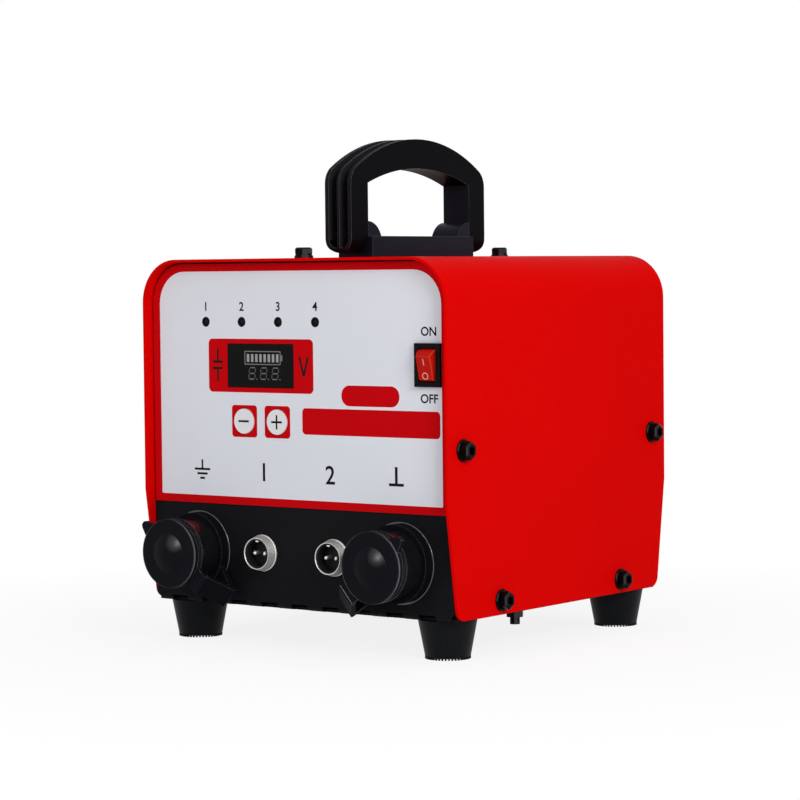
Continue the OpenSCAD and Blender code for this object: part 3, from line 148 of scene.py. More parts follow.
class Finish:
    """One procedural material, read in Object coordinates."""

    def __init__(self, name):
        self.material = bpy.data.materials.new(name)
        self.material.use_nodes = True
        self.tree = self.material.node_tree
        self.tree.nodes.clear()
        self.place = self.node("ShaderNodeTexCoord", take="Object")

    def node(self, kind, settings=None, sockets=None, take=0):
        """Adds a node and returns one of its outputs, or nothing where take is None."""
        made = self.tree.nodes.new(kind)
        for key, value in (settings or {}).items():
            if key == "stops":
                for element, (at, grey) in zip(made.color_ramp.elements, value):
                    element.position = at
                    element.color = (grey, grey, grey, 1)
            else:
                setattr(made, key, value)
        for key, value in (sockets or {}).items():
            if isinstance(value, Value):
                self.tree.links.new(value.socket, made.inputs[key])
            else:
                made.inputs[key].default_value = value
        return Value(self, made.outputs[take]) if take is not None else None

    def noise(self, scale, detail, stretch=None):
        where = self.place
        if stretch:
            where = self.node("ShaderNodeMapping", None, {"Vector": where, "Scale": stretch})
        return self.node("ShaderNodeTexNoise", None, {"Vector": where, "Scale": scale, "Detail": detail})

    def facing(self, direction):
        """1 where a face looks along the direction, 0 across it, -1 away from it."""
        normal = self.node("ShaderNodeNewGeometry", take="Normal")
        return self.node("ShaderNodeVectorMath", {"operation": "DOT_PRODUCT"}, {0: normal, 1: direction},
                         take="Value")

    def steps(self, value, low, high):
        """0 below the low value, 1 above the high one."""
        return self.node("ShaderNodeValToRGB", {"stops": [(low, 0.0), (high, 1.0)]}, {0: value})

    def mix(self, factor, first, second):
        return self.node("ShaderNodeMix", {"data_type": "RGBA"}, {0: factor, 6: first, 7: second}, take=2)

    def clouded(self, cloud, colour, mottle):
        """A colour that wanders up and down by a share of itself."""
        return self.mix(cloud, shade(colour, 1 - mottle), shade(colour, 1 + mottle))

    def bump(self, height, depth):
        """Relief with a depth in mm."""
        return self.node("ShaderNodeBump", None, {"Height": height, "Distance": depth * MM, "Strength": 1.0})

    def surface(self, **sockets):
        named = {key.replace("_", " "): value for key, value in sockets.items()}
        shader = self.node("ShaderNodeBsdfPrincipled", None, named)
        self.node("ShaderNodeOutputMaterial", None, {"Surface": shader}, take=None)
        return self.material


# Finishes: colours are linear, grain is a noise scale per metre, depth is in mm

# Face attribute: the share of the painted highlight that a face takes where it looks towards the side lamp
PAINTED_LIGHT_SHARE = "rounded_edge"
RIGHT = (1, 0, 0)
FORWARD = (0, -1, 0)
# Normals where a coat puts a painted highlight of the lamps on the cap domes and the screw heads
DOME_HIGHLIGHT_NORMAL = (0.26, -0.916, 0.305)
SCREW_HIGHLIGHT_NORMAL = (0.73, -0.636, 0.25)
DUST = (0.16, 0.16, 0.17, 1)
# How far a face must look forward to take the painted light from the front
FRONT_LIGHT_STEPS = (0.3, 0.9)
SPECK_STEPS = (0.66, 0.74)
SPECK_SCALE = 0.4
# Blend of the painted highlight on rounded edges as they turn towards the side lamp
SIDE_LIGHT_BLEND = 0.45
HIGHLIGHT_BLEND = 0.036
HIGHLIGHT_COAT = 0.8
COAT_ROUGHNESS = 0.28
PAINT_CLOUD = 24
PAINT_WANDER = (0.14, 0.1)
METAL_CLOUD = 60
METAL_WANDER = (0.16, 0.14)
METAL_DEPTH = 0.01
BAND_SCALE = 160
BAND_STRETCH = (1, 1, 4)
BAND_STEPS = (0.45, 0.55)


def shade(colour, factor):
    return tuple(min(1.0, c * factor) for c in colour) + (1.0,)


def uneven(roughness, cloud, fine, wander):
    """Roughness that wanders about its mean with two noises, by a share for each."""
    return cloud * wander[0] + fine * wander[1] + (roughness - sum(wander) / 2)


def coated(name, colour, roughness, specular, grain, depth, mottle, dust=0.0, edge_light=None, edge_light_from=0.3,
           highlight_normal=None, highlight_from=0.962, front_light=1.0):
    """Paint, film, plastic or rubber: soft clouds, fine grain, a little dust. Rounded edges that look to the
    right, towards the side lamp, can take a paler colour as a painted highlight; faces that look along one
    direction a coat only there, as a painted highlight of the lamps; and faces that look forward a factor on
    their colour, as painted light from the front."""
    f = Finish(name)
    cloud = f.noise(PAINT_CLOUD, 3)
    fine = f.noise(grain, 2)
    base = f.clouded(cloud, colour, mottle)
    # Painted light: faces that look forward take a factor on their colour, as if lit from the front
    if front_light != 1.0:
        base = f.mix(f.steps(f.facing(FORWARD), *FRONT_LIGHT_STEPS), base, shade(colour, front_light))
    if dust:
        specks = f.steps(f.noise(grain * SPECK_SCALE, 1), *SPECK_STEPS) * dust
        base = f.mix(specks, base, DUST)
    # Painted highlight: rounded edges that face the side lamp take a paler colour
    if edge_light:
        edge = f.node("ShaderNodeAttribute", {"attribute_name": PAINTED_LIGHT_SHARE}, take="Fac")
        toward_side_lamp = f.steps(f.facing(RIGHT) * 0.5 + 0.5, edge_light_from, edge_light_from + SIDE_LIGHT_BLEND)
        base = f.mix(edge * toward_side_lamp, base, edge_light + (1,))
    # Painted highlight: a coat only on faces that look along one direction, where the lamps' reflection
    # falls
    painted_highlight = f.steps(f.facing(highlight_normal), highlight_from, highlight_from + HIGHLIGHT_BLEND) * HIGHLIGHT_COAT if highlight_normal else 0.0
    return f.surface(Base_Color=base, Roughness=uneven(roughness, cloud, fine, PAINT_WANDER),
                     Specular_IOR_Level=specular, Coat_Weight=painted_highlight, Coat_Roughness=COAT_ROUGHNESS,
                     Normal=f.bump(fine, depth))


def metal(name, colour, roughness, grain, mottle, stretch=(1, 1, 1)):
    """Plated, turned or drawn metal: fine grain or lines, with duller patches."""
    f = Finish(name)
    cloud = f.noise(METAL_CLOUD, 3)
    lines = f.noise(grain, 3, stretch)
    rough = uneven(roughness, cloud, lines, METAL_WANDER)
    return f.surface(Base_Color=f.clouded(cloud, colour, mottle), Roughness=rough, Metallic=1.0,
                     Normal=f.bump(lines, METAL_DEPTH))


def banded(name, colour, band, roughness, grain, depth):
    """Board or sleeve with faint broad bands in a second colour."""
    f = Finish(name)
    bands = f.steps(f.noise(BAND_SCALE, 2, BAND_STRETCH), *BAND_STEPS)
    fine = f.noise(grain, 2)
    return f.surface(Base_Color=f.mix(bands, colour + (1,), band + (1,)), Roughness=fine * 0.2 + roughness,
                     Specular_IOR_Level=0.4, Normal=f.bump(fine, depth))


# The paler edge colours below are painted highlights on rounded edges that face the side lamp
finishes = {
    "red_paint": coated("red_paint", (0.73, 0.001, 0.0006), roughness=0.5, specular=0.01,
                        grain=1500, depth=0.04, mottle=0.04),
    "black_paint": coated("black_paint", (0.0064, 0.0066, 0.0085), roughness=0.62, specular=0.05,
                          grain=1700, depth=0.07, mottle=0.2, dust=0.02),
    "overlay_print": coated("overlay_red_ink", (0.6, 0.002, 0.005), roughness=0.5, specular=0.02,
                            grain=1300, depth=0.01, mottle=0.03),
    "overlay_white": coated("overlay_white_film", (0.8, 0.82, 0.885), roughness=0.45, specular=0.06,
                            grain=1300, depth=0.01, mottle=0.02),
    "print_black": coated("print_black_ink", (0.009, 0.009, 0.011), roughness=0.5, specular=0.04,
                          grain=1300, depth=0.01, mottle=0.1),
    "dark_lens": coated("smoked_lens", (0.006, 0.006, 0.0068), roughness=0.22, specular=0.04,
                        grain=600, depth=0.005, mottle=0.1, dust=0.02),
    "segment_grey": coated("segment_grey", (0.2, 0.2, 0.2), roughness=0.4, specular=0.05,
                           grain=900, depth=0.01, mottle=0.06),
    "segment_pale": coated("segment_pale", (0.36, 0.36, 0.36), roughness=0.4, specular=0.05,
                           grain=900, depth=0.01, mottle=0.06),
    "segment_dim": coated("segment_dim", (0.11, 0.11, 0.112), roughness=0.4, specular=0.05,
                          grain=900, depth=0.01, mottle=0.06),
    "lamp_lens": coated("lamp_lens", (0.006, 0.003, 0.004), roughness=0.22, specular=0.1,
                        grain=900, depth=0.01, mottle=0.15),
    "key_plastic": coated("key_film", (0.84, 0.83, 0.86), roughness=0.42, specular=0.06,
                          grain=1300, depth=0.01, mottle=0.02),
    "switch_black": coated("switch_black", (0.0042, 0.0038, 0.0046), roughness=0.35, specular=0.05,
                           grain=1400, depth=0.02, mottle=0.15, edge_light=(0.05, 0.05, 0.055)),
    "rocker_red": coated("rocker_red", (0.52, 0.009, 0.004), roughness=0.34, specular=0.05,
                         grain=1200, depth=0.01, mottle=0.05, edge_light=(0.62, 0.05, 0.015)),
    "mark_pale": coated("mark_pale", (0.72, 0.4, 0.4), roughness=0.5, specular=0.05,
                        grain=1300, depth=0.01, mottle=0.06),
    "socket_plastic": coated("socket_plastic", (0.0066, 0.0068, 0.008), roughness=0.15, specular=0.7,
                             grain=1600, depth=0.005, mottle=0.2, edge_light=(0.06, 0.06, 0.068)),
    "black_plastic": coated("inner_plastic", (0.012, 0.012, 0.013), roughness=0.5, specular=0.1,
                            grain=1600, depth=0.04, mottle=0.15),
    "cap_rubber": coated("cap_rubber", (0.0052, 0.0054, 0.0082), roughness=0.5, specular=0.04,
                         grain=1900, depth=0.02, mottle=0.15, edge_light=(0.2, 0.2, 0.215), edge_light_from=0.48,
                         highlight_normal=DOME_HIGHLIGHT_NORMAL),
    "strap_rubber": coated("strap_rubber", (0.0044, 0.0047, 0.007), roughness=0.6, specular=0.02,
                           grain=1900, depth=0.03, mottle=0.15, edge_light=(0.14, 0.14, 0.152)),
    "foot_rubber": coated("foot_rubber", (0.0058, 0.0064, 0.0082), roughness=0.45, specular=0.06,
                          grain=1900, depth=0.06, mottle=0.2, dust=0.03),
    # The handle's forward faces are four times paler, as painted light from the front
    "handle_plastic": coated("handle_plastic", (0.003, 0.0029, 0.0044), roughness=0.42, specular=0.018,
                             grain=2200, depth=0.07, mottle=0.15, dust=0.02, edge_light=(0.19, 0.19, 0.205),
                             front_light=4.0),
    "base_plastic": coated("handle_base_plastic", (0.0068, 0.0074, 0.015), roughness=0.36, specular=0.06,
                           grain=2200, depth=0.06, mottle=0.15, dust=0.02, edge_light=(0.06, 0.058, 0.075)),
    "black_screw": coated("black_screw", (0.0024, 0.0024, 0.0028), roughness=0.3, specular=0.04,
                          grain=1500, depth=0.03, mottle=0.25, highlight_normal=SCREW_HIGHLIGHT_NORMAL, highlight_from=0.88),
    "zinc_steel": metal("zinc_steel", (0.5, 0.5, 0.51), roughness=0.38, grain=1200, mottle=0.12),
    "nickel": metal("nickel_plate", (0.74, 0.74, 0.72), roughness=0.52, grain=1400, mottle=0.3),
    "brass": metal("turned_brass", (0.62, 0.43, 0.17), roughness=0.32, grain=900, mottle=0.1,
                   stretch=(1, 6, 1)),
    "copper": metal("copper_bar", (0.6, 0.25, 0.13), roughness=0.36, grain=700, mottle=0.15,
                    stretch=(4, 1, 1)),
    "circuit_board": banded("board_green", (0.006, 0.07, 0.022), (0.012, 0.11, 0.035), roughness=0.3,
                            grain=1400, depth=0.02),
    "cell_wrap": banded("cell_sleeve", (0.02, 0.1, 0.36), (0.024, 0.12, 0.4), roughness=0.25,
                        grain=1400, depth=0.02),
    "aluminium": metal("mill_aluminium", (0.56, 0.56, 0.57), roughness=0.4, grain=800, mottle=0.08,
                       stretch=(1, 8, 1)),
}

for node, slot in NODE_SLOTS.items():
    nodes[node].data.materials.clear()
    nodes[node].data.materials.append(finishes[slot])


# Mesh helpers

CREASE = math.radians(32)
ROUNDED_FROM = math.radians(38)
FLAT_WITHIN = math.radians(0.6)
CAD_WELD = 2e-6
TURNED_WELD = 1e-7
JOINED_WELD = 1e-8
FINE_ROUND = 96


def as_piece(name, mesh, finish, body="case", replaces=(), slot=None, crease=CREASE):
    """Puts a finished mesh in the scene, riding on a body. Edges over the crease angle stay sharp."""
    mesh.name = name
    mesh.materials.clear()
    mesh.materials.append(finishes[finish])
    for face in mesh.polygons:
        face.material_index = 0
    if crease:
        mesh.shade_smooth()
        mesh.set_sharp_from_angle(angle=crease)
    piece = in_scene(name, mesh)
    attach(piece, body)
    if replaces:
        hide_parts(*replaces)
    slot or finish in MATERIAL_SLOTS
    return piece


def plain_mesh(source):
    """The evaluated shape of a helper object as a plain mesh; the helper is removed."""
    graph = bpy.context.evaluated_depsgraph_get()
    graph.update()
    mesh = bpy.data.meshes.new_from_object(source.evaluated_get(graph))
    bpy.data.objects.remove(source)
    return mesh


def as_mesh(bm, name):
    mesh = bpy.data.meshes.new(name)
    bm.to_mesh(mesh)
    bm.free()
    return mesh


def mark_painted_light(mesh, values):
    """Stores how much of the painted highlight each face takes where it faces the side lamp, from 0 to 1."""
    edge = mesh.attributes.new(PAINTED_LIGHT_SHARE, "FLOAT", "FACE")
    edge.data.foreach_set("value", values)


def softened(node, width, finish=None, segments=2):
    """A CAD node's shape with its sharp edges rounded over a width in mm, in place of the node."""
    source = nodes[node]
    slot = NODE_SLOTS[node]
    bm = bmesh.new()
    bm.from_mesh(source.data)
    bmesh.ops.remove_doubles(bm, verts=bm.verts, dist=CAD_WELD)
    bmesh.ops.dissolve_limit(bm, angle_limit=FLAT_WITHIN, verts=bm.verts, edges=bm.edges)
    mesh = as_mesh(bm, node + "_soft")
    mesh.shade_smooth()
    for _ in ("faces", "edges"):
        mesh.materials.append(finishes[finish or slot])
    copy = in_scene(node + "_soft", mesh)
    bevel = copy.modifiers.new("edges", "BEVEL")
    bevel.width = width * MM
    bevel.segments = segments
    bevel.limit_method = "ANGLE"
    bevel.angle_limit = ROUNDED_FROM
    bevel.use_clamp_overlap = True
    # The rounded faces take the painted edge highlight
    bevel.material = 1
    copy.modifiers.new("even_faces", "WEIGHTED_NORMAL")
    shape = plain_mesh(copy)
    mark_painted_light(shape, [float(face.material_index) for face in shape.polygons])
    return as_piece(node + "_shell", shape, finish or slot, source["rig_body"], [node], slot, crease=None)


def turned(profile, steps=72):
    """A closed (radius, height) outline in mm, turned about Z. Returns a mesh in metres."""
    bm = bmesh.new()
    rings = []
    for i in range(steps):
        a = 2 * math.pi * i / steps
        across, along = math.cos(a), math.sin(a)
        rings.append([bm.verts.new((r * across * MM, r * along * MM, h * MM)) for r, h in profile])
    count = len(profile)
    for i in range(steps):
        here, there = rings[i], rings[(i + 1) % steps]
        for k in range(count):
            n = (k + 1) % count
            bm.faces.new((here[k], there[k], there[n], here[n]))
    bmesh.ops.remove_doubles(bm, verts=bm.verts, dist=TURNED_WELD)
    bmesh.ops.recalc_face_normals(bm, faces=bm.faces)
    return as_mesh(bm, "turned")


def joined(meshes):
    bm = bmesh.new()
    for mesh in meshes:
        bm.from_mesh(mesh)
        bpy.data.meshes.remove(mesh)
    bmesh.ops.remove_doubles(bm, verts=bm.verts, dist=JOINED_WELD)
    return as_mesh(bm, "joined")


def facing_front(x, y, z):
    """Stands a drawing in x and y, or a shape turned about Z, at a place, so that it faces forward."""
    return Matrix.Translation((x, y, z)) @ Matrix.Rotation(math.radians(90), 4, "X")


# Outlines in mm

CORNER_STEPS = 10


def ring(x, z, r, count=48):
    return [(x + r * math.cos(2 * math.pi * i / count), z + r * math.sin(2 * math.pi * i / count))
            for i in range(count)]


def panel(x0, x1, z0, z1, r_low, r_high=None):
    """Rectangle with rounded lower and upper corners."""
    r_high = r_low if r_high is None else r_high
    corners = [(x1 - r_low, z0 + r_low, r_low, -90), (x1 - r_high, z1 - r_high, r_high, 0),
               (x0 + r_high, z1 - r_high, r_high, 90), (x0 + r_low, z0 + r_low, r_low, 180)]
    outline = []
    for cx, cz, r, start in corners:
        for i in range(CORNER_STEPS + 1):
            a = math.radians(start + 90 * i / CORNER_STEPS)
            outline.append((cx + r * math.cos(a), cz + r * math.sin(a)))
    return outline


def tile(x, z, w, h, r):
    """Rounded rectangle about a middle."""
    return panel(x - w / 2, x + w / 2, z - h / 2, z + h / 2, r)


def bar(x, z, w, h):
    return [(x - w / 2, z - h / 2), (x + w / 2, z - h / 2), (x + w / 2, z + h / 2), (x - w / 2, z + h / 2)]


# Printed film: flat layers a few hundredths of a millimetre thick

LIFT = 0.03
LETTER_WEIGHT = 0.12
OVERLAY_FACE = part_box("front_overlay")[0].y
PANEL_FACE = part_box("front_overlay")[1].y


def flat_layer(loops):
    """Closed loops in mm, filled where they are odd in number, with a little thickness."""
    drawing = bpy.data.curves.new("layer", "CURVE")
    drawing.dimensions = "2D"
    drawing.fill_mode = "BOTH"
    drawing.extrude = LIFT / 2 * MM
    for loop in loops:
        line = drawing.splines.new("POLY")
        line.points.add(len(loop) - 1)
        for point, (x, z) in zip(line.points, loop):
            point.co = (x * MM, z * MM, 0, 1)
        line.use_cyclic_u = True
    return plain_mesh(in_scene("layer", drawing))


def flat_layers(loops):
    """One layer for each loop."""
    return [flat_layer([loop]) for loop in loops]


def lettering(text, size, x, z):
    drawing = bpy.data.curves.new("mark", "FONT")
    drawing.body = text
    drawing.size = size * MM
    drawing.align_x = "CENTER"
    drawing.align_y = "CENTER"
    drawing.extrude = LIFT / 2 * MM
    drawing.offset = LETTER_WEIGHT * MM
    drawing.resolution_u = 6
    mesh = plain_mesh(in_scene("mark", drawing))
    mesh.transform(Matrix.Translation((x * MM, z * MM, 0)))
    return mesh


def printed(name, meshes, finish, y, body="case", slot="overlay_print", layer=0):
    """Prints drawings on a face at y, over as many layers as are there already."""
    whole = joined(meshes)
    whole.transform(facing_front(0, y - (layer + 0.5) * LIFT * MM, 0))
    return as_piece(name, whole, finish, body, slot=slot)


# Print on the panel: fields as x from and to, z from and to

DISPLAY = middle("display_module")
SWITCH = middle("rocker_housing")
KEYS = {node: middle(node) for node in ("minus_key", "plus_key")}
LAMP_Z = middle("indicator_lamps").z
LAMP_PITCH = 23.7
LAMPS = [DISPLAY.x + i * LAMP_PITCH for i in (-1.5, -0.5, 0.5, 1.5)]
FRAME = (DISPLAY.x - 34.0, DISPLAY.x + 34.1, DISPLAY.z - 13.5, DISPLAY.z + 13.5)
FRAME_CORNER = 2.6
PLATE = (3.9, 88.7, 107.6, 120.7)
PLATE_CORNER = 2.2
PILL = (28.7, 64.4, 122.2, 132.4)
PILL_CORNER = 5.0


def print_field():
    """White field on the red film. Red is left at its border, round the fittings and in two bare fields."""
    low, high = box_mm("front_overlay")
    left, right, foot, head = 4.7, 4.4, 4.0, 3.9
    foot_corner, head_corner = 0.6, 16.5
    key_wide, key_tall, key_corner = 16.5, 16.2, 1.8
    switch_wide, switch_tall = 13.1, 19.3
    lamp_radius = 2.2
    loops = [panel(low.x + left, high.x - right, low.z + foot, high.z - head, foot_corner, head_corner),
             panel(*FRAME, FRAME_CORNER), panel(*PLATE, PLATE_CORNER), panel(*PILL, PILL_CORNER),
             bar(SWITCH.x, SWITCH.z, switch_wide, switch_tall)]
    loops += [tile(key.x, key.z, key_wide, key_tall, key_corner) for key in KEYS.values()]
    loops += [ring(x, LAMP_Z, lamp_radius) for x in LAMPS]
    printed("white_field", [flat_layer(loops)], "overlay_white", OVERLAY_FACE)


def earth_sign(x, z):
    """A stem over three bars that grow shorter."""
    line, pitch = 1.1, 2.3
    stem_rise, stem_tall = 2.2, 5.4
    bars = [bar(x, z - i * pitch, wide, line) for i, wide in enumerate((10.4, 6.8, 3.2))]
    return [bar(x, z + stem_rise, line, stem_tall)] + bars


def gun_sign(x, z):
    """A pin that stands on a plate."""
    pin_rise, pin_wide, pin_tall = 1.2, 1.6, 8.0
    plate_drop, plate_wide, plate_tall = 3.5, 9.0, 1.4
    return [bar(x, z + pin_rise, pin_wide, pin_tall), bar(x, z - plate_drop, plate_wide, plate_tall)]


def lamp_marks():
    """A ring round each lamp and a number over it."""
    ring_out, ring_in = 2.55, 1.6
    text_size, text_rise = 6.2, 7.5
    rings = [flat_layer([ring(x, LAMP_Z, ring_out), ring(x, LAMP_Z, ring_in)]) for x in LAMPS]
    return rings + [lettering(str(i + 1), text_size, x, LAMP_Z + text_rise) for i, x in enumerate(LAMPS)]


def socket_numbers():
    """1 and 2 over the control sockets."""
    text_size, inward, z = 13, 1.6, 87.4
    x = middle("right_control_socket").x - inward
    return [lettering("1", text_size, -x, z), lettering("2", text_size, x, z)]


def switch_words():
    text_size, on_rise, off_drop = 6.0, 15.9, 16.4
    return [lettering("ON", text_size, SWITCH.x, SWITCH.z + on_rise),
            lettering("OFF", text_size, SWITCH.x, SWITCH.z - off_drop)]


def socket_signs():
    """Earth over the left power socket, gun over the right one."""
    inward, z = 2.2, 88.2
    x = middle("right_socket_body").x - inward
    return flat_layers(earth_sign(-x, z) + gun_sign(x, z))


def print_marks():
    marks = lamp_marks() + socket_numbers() + switch_words() + socket_signs()
    printed("panel_marks", marks, "print_black", OVERLAY_FACE, layer=1)


def cell_sign(x, z):
    """Two plates that face each other, each with its lead."""
    lead_at, lead_wide, lead_tall = 5.2, 1.1, 6.0
    plate_at, plate_wide, plate_tall = 1.6, 6.6, 1.2
    loops = []
    for side in (-1, 1):
        loops += [bar(x, z + side * lead_at, lead_wide, lead_tall),
                  bar(x, z + side * plate_at, plate_wide, plate_tall)]
    return loops


def volt_sign(x, z):
    """The letter V in straight strokes."""
    outer, inner, foot, half, notch = 3.35, 2.15, 0.6, 4.9, 2.7
    return [(x - outer, z + half), (x - inner, z + half), (x, z - notch), (x + inner, z + half),
            (x + outer, z + half), (x + foot, z - half), (x - foot, z - half)]


def print_signs():
    """Battery and volt signs on the red to the left and right of the display."""
    cell_in, cell_rise, volt_in = 6.1, 0.2, 6.15
    loops = cell_sign(FRAME[0] + cell_in, DISPLAY.z + cell_rise)
    loops.append(volt_sign(FRAME[1] - volt_in, DISPLAY.z))
    printed("display_signs", flat_layers(loops), "print_black", OVERLAY_FACE)


# Print on the display: places as shares of its width and height from the upper left

DISPLAY_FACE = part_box("display_window")[0].y
BATTERY_UPPER_LEFT = (0.26, 0.158)
BATTERY_LOWER_RIGHT = (0.81, 0.478)
CHARGE_BARS = 8
CHARGE_FROM = 0.315
CHARGE_SPAN = 0.445
CHARGE_DOWN = 0.322
DIGITS = 3
FIRST_DIGIT = (0.375, 0.676)
DIGIT_PITCH = 7.5
DIGIT_TALL = 5.7
DIGIT_WIDE = 3.9
STROKE = 0.5
STROKE_GAP = 0.3
LEAN = 0.12


def on_display(across, down):
    low, high = box_mm("display_module")
    return low.x + across * (high.x - low.x), high.z - down * (high.z - low.z)


def print_battery():
    """Battery outline with its pole, and the bars in it."""
    (x0, z1), (x1, z0) = on_display(*BATTERY_UPPER_LEFT), on_display(*BATTERY_LOWER_RIGHT)
    line, outer_corner, inner_corner = 0.5, 0.5, 0.2
    pole_out, pole_wide, pole_tall, pole_corner = 0.6, 1.0, 3.0, 0.3
    outline = [panel(x0, x1, z0, z1, outer_corner),
               panel(x0 + line, x1 - line, z0 + line, z1 - line, inner_corner)]
    pole = tile(x1 + pole_out, (z0 + z1) / 2, pole_wide, pole_tall, pole_corner)
    printed("display_battery", [flat_layer(outline), flat_layer([pole])], "segment_grey", DISPLAY_FACE,
            slot="dark_lens")
    bar_wide, bar_tall = 1.55, 4.0
    places = [on_display(CHARGE_FROM + CHARGE_SPAN * i / (CHARGE_BARS - 1), CHARGE_DOWN)
              for i in range(CHARGE_BARS)]
    bars = flat_layers([bar(x, z, bar_wide, bar_tall) for x, z in places])
    printed("display_bars", bars, "segment_pale", DISPLAY_FACE, slot="dark_lens")


def segment(ends, cx, cz):
    """Outline of one pointed bar of a digit, leaning a little."""
    a, b = (Vector(end) for end in ends)
    along = (b - a).normalized()
    side = Vector((-along.y, along.x)) * STROKE / 2
    a, b = a + along * (STROKE_GAP + STROKE / 2), b - along * (STROKE_GAP + STROKE / 2)
    loop = [a - side, b - side, b + along * STROKE / 2, b + side, a + side, a - along * STROKE / 2]
    return [(cx + p.x + p.y * LEAN, cz + p.y) for p in loop]


def print_digits():
    """Three unlit digits, each with a point. The upright segments are dimmer."""
    level, upright = [], []
    half_wide, half_tall = DIGIT_WIDE / 2, DIGIT_TALL / 2
    point_out, point_radius, point_steps = 1.1, 0.32, 12
    first_x, cz = on_display(*FIRST_DIGIT)
    for i in range(DIGITS):
        cx = first_x + i * DIGIT_PITCH
        for z in (-half_tall, 0, half_tall):
            level.append(segment(((-half_wide, z), (half_wide, z)), cx, cz))
        level.append(ring(cx + half_wide + point_out, cz - half_tall, point_radius, point_steps))
        for x in (-half_wide, half_wide):
            upright += [segment(((x, z), (x, z + half_tall)), cx, cz) for z in (-half_tall, 0)]
    printed("display_level_segments", flat_layers(level), "segment_grey", DISPLAY_FACE, slot="dark_lens")
    printed("display_upright_segments", flat_layers(upright), "segment_dim", DISPLAY_FACE, slot="dark_lens")


# Print on the keys and the rocker

def print_keys():
    """Minus and plus. The upright of the plus is two arms on its level bar."""
    wide, line = 6.8, 1.0
    arm_at, arm_tall = 2.05, 3.1
    for node, key in KEYS.items():
        loops = [bar(key.x, key.z, wide, line)]
        if node == "plus_key":
            loops += [bar(key.x, key.z + side * arm_at, line, arm_tall) for side in (-1, 1)]
        printed(node + "_mark", flat_layers(loops), "print_black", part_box(node)[0].y, node, "key_plastic")


def print_rocker():
    """I on the raised upper face, O on the lower one. The faces dip towards the middle."""
    joint = [j for j in record["behaviour"]["joints"] if j["child"] == "rocker"][0]
    pivot, turn = Vector(joint["pos_m"]), math.radians(joint["range_deg"][1]) / 2
    rise, dish = 5.5, math.radians(3.5)
    on_wide, on_tall, on_at = 0.5, 3.2, 2.9
    off_out, off_in, off_at = 1.75, 1.3, -4.0
    marks = []
    for loops, along, slope in (([bar(0, 0, on_wide, on_tall)], on_at, dish),
                                ([ring(0, 0, off_out), ring(0, 0, off_in)], off_at, -dish)):
        shape = flat_layer(loops)
        out = rise + abs(along) * math.tan(dish) + LIFT / 2
        shape.transform(Matrix.Translation(pivot) @ Matrix.Rotation(turn, 4, "X")
                        @ Matrix.Translation((0, -out * MM, along * MM))
                        @ Matrix.Rotation(math.radians(90) + slope, 4, "X"))
        marks.append(shape)
    as_piece("rocker_marks", joined(marks), "mark_pale", "rocker", slot="rocker_red")


print_field()
print_marks()
print_signs()
print_battery()
print_digits()
print_keys()
print_rocker()


# Shells with rounded edges in place of the sharp solids

softened("cover", width=0.4)
softened("chassis", width=0.25)
handle = softened("handle", width=0.7, segments=3)
softened("handle_base", width=0.5, finish="base_plastic")
softened("rocker_housing", width=0.45)
softened("rocker", width=0.4)
for side in SIDES:
    softened(side + "socket_body", width=0.4)
    softened(side + "cap_ring", width=0.4, finish="strap_rubber")
    softened(side + "cap", width=0.45, segments=3)
    softened(side + "contact", width=0.3)


# The walls of the handle's grooves take a small share of the painted edge highlight: painted light that
# makes those facing the side lamp paler than its sides

def light_groove_walls(piece):
    share, inward, straight = 0.09, 1.2, 0.99
    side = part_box("handle")[1].x - inward * MM
    for face, edge in zip(piece.data.polygons, piece.data.attributes[PAINTED_LIGHT_SHARE].data):
        if abs(face.center.x) < side and abs(face.normal.x) > straight:
            edge.value = share


light_groove_walls(handle)


# Beads round the edges of the caps: radius from the socket's axis, distance from the panel

BEADS = ((17.35, 24.75), (17.4, 22.2), (17.3, 18.85))
BEAD_RADIUS = 0.22
BEAD_STEPS = 10


def fit_beads():
    for side in SIDES:
        at = middle(side + "socket_body") * MM
        whole = joined([turned(ring(r, out, BEAD_RADIUS, BEAD_STEPS), FINE_ROUND) for r, out in BEADS])
        whole.transform(facing_front(at.x, PANEL_FACE, at.z))
        # Every bead face takes the painted edge highlight where it faces the side lamp
        mark_painted_light(whole, [1.0] * len(whole.polygons))
        as_piece(side + "cap_beads", whole, "cap_rubber", side + "cap")


fit_beads()


# Geometry Nodes

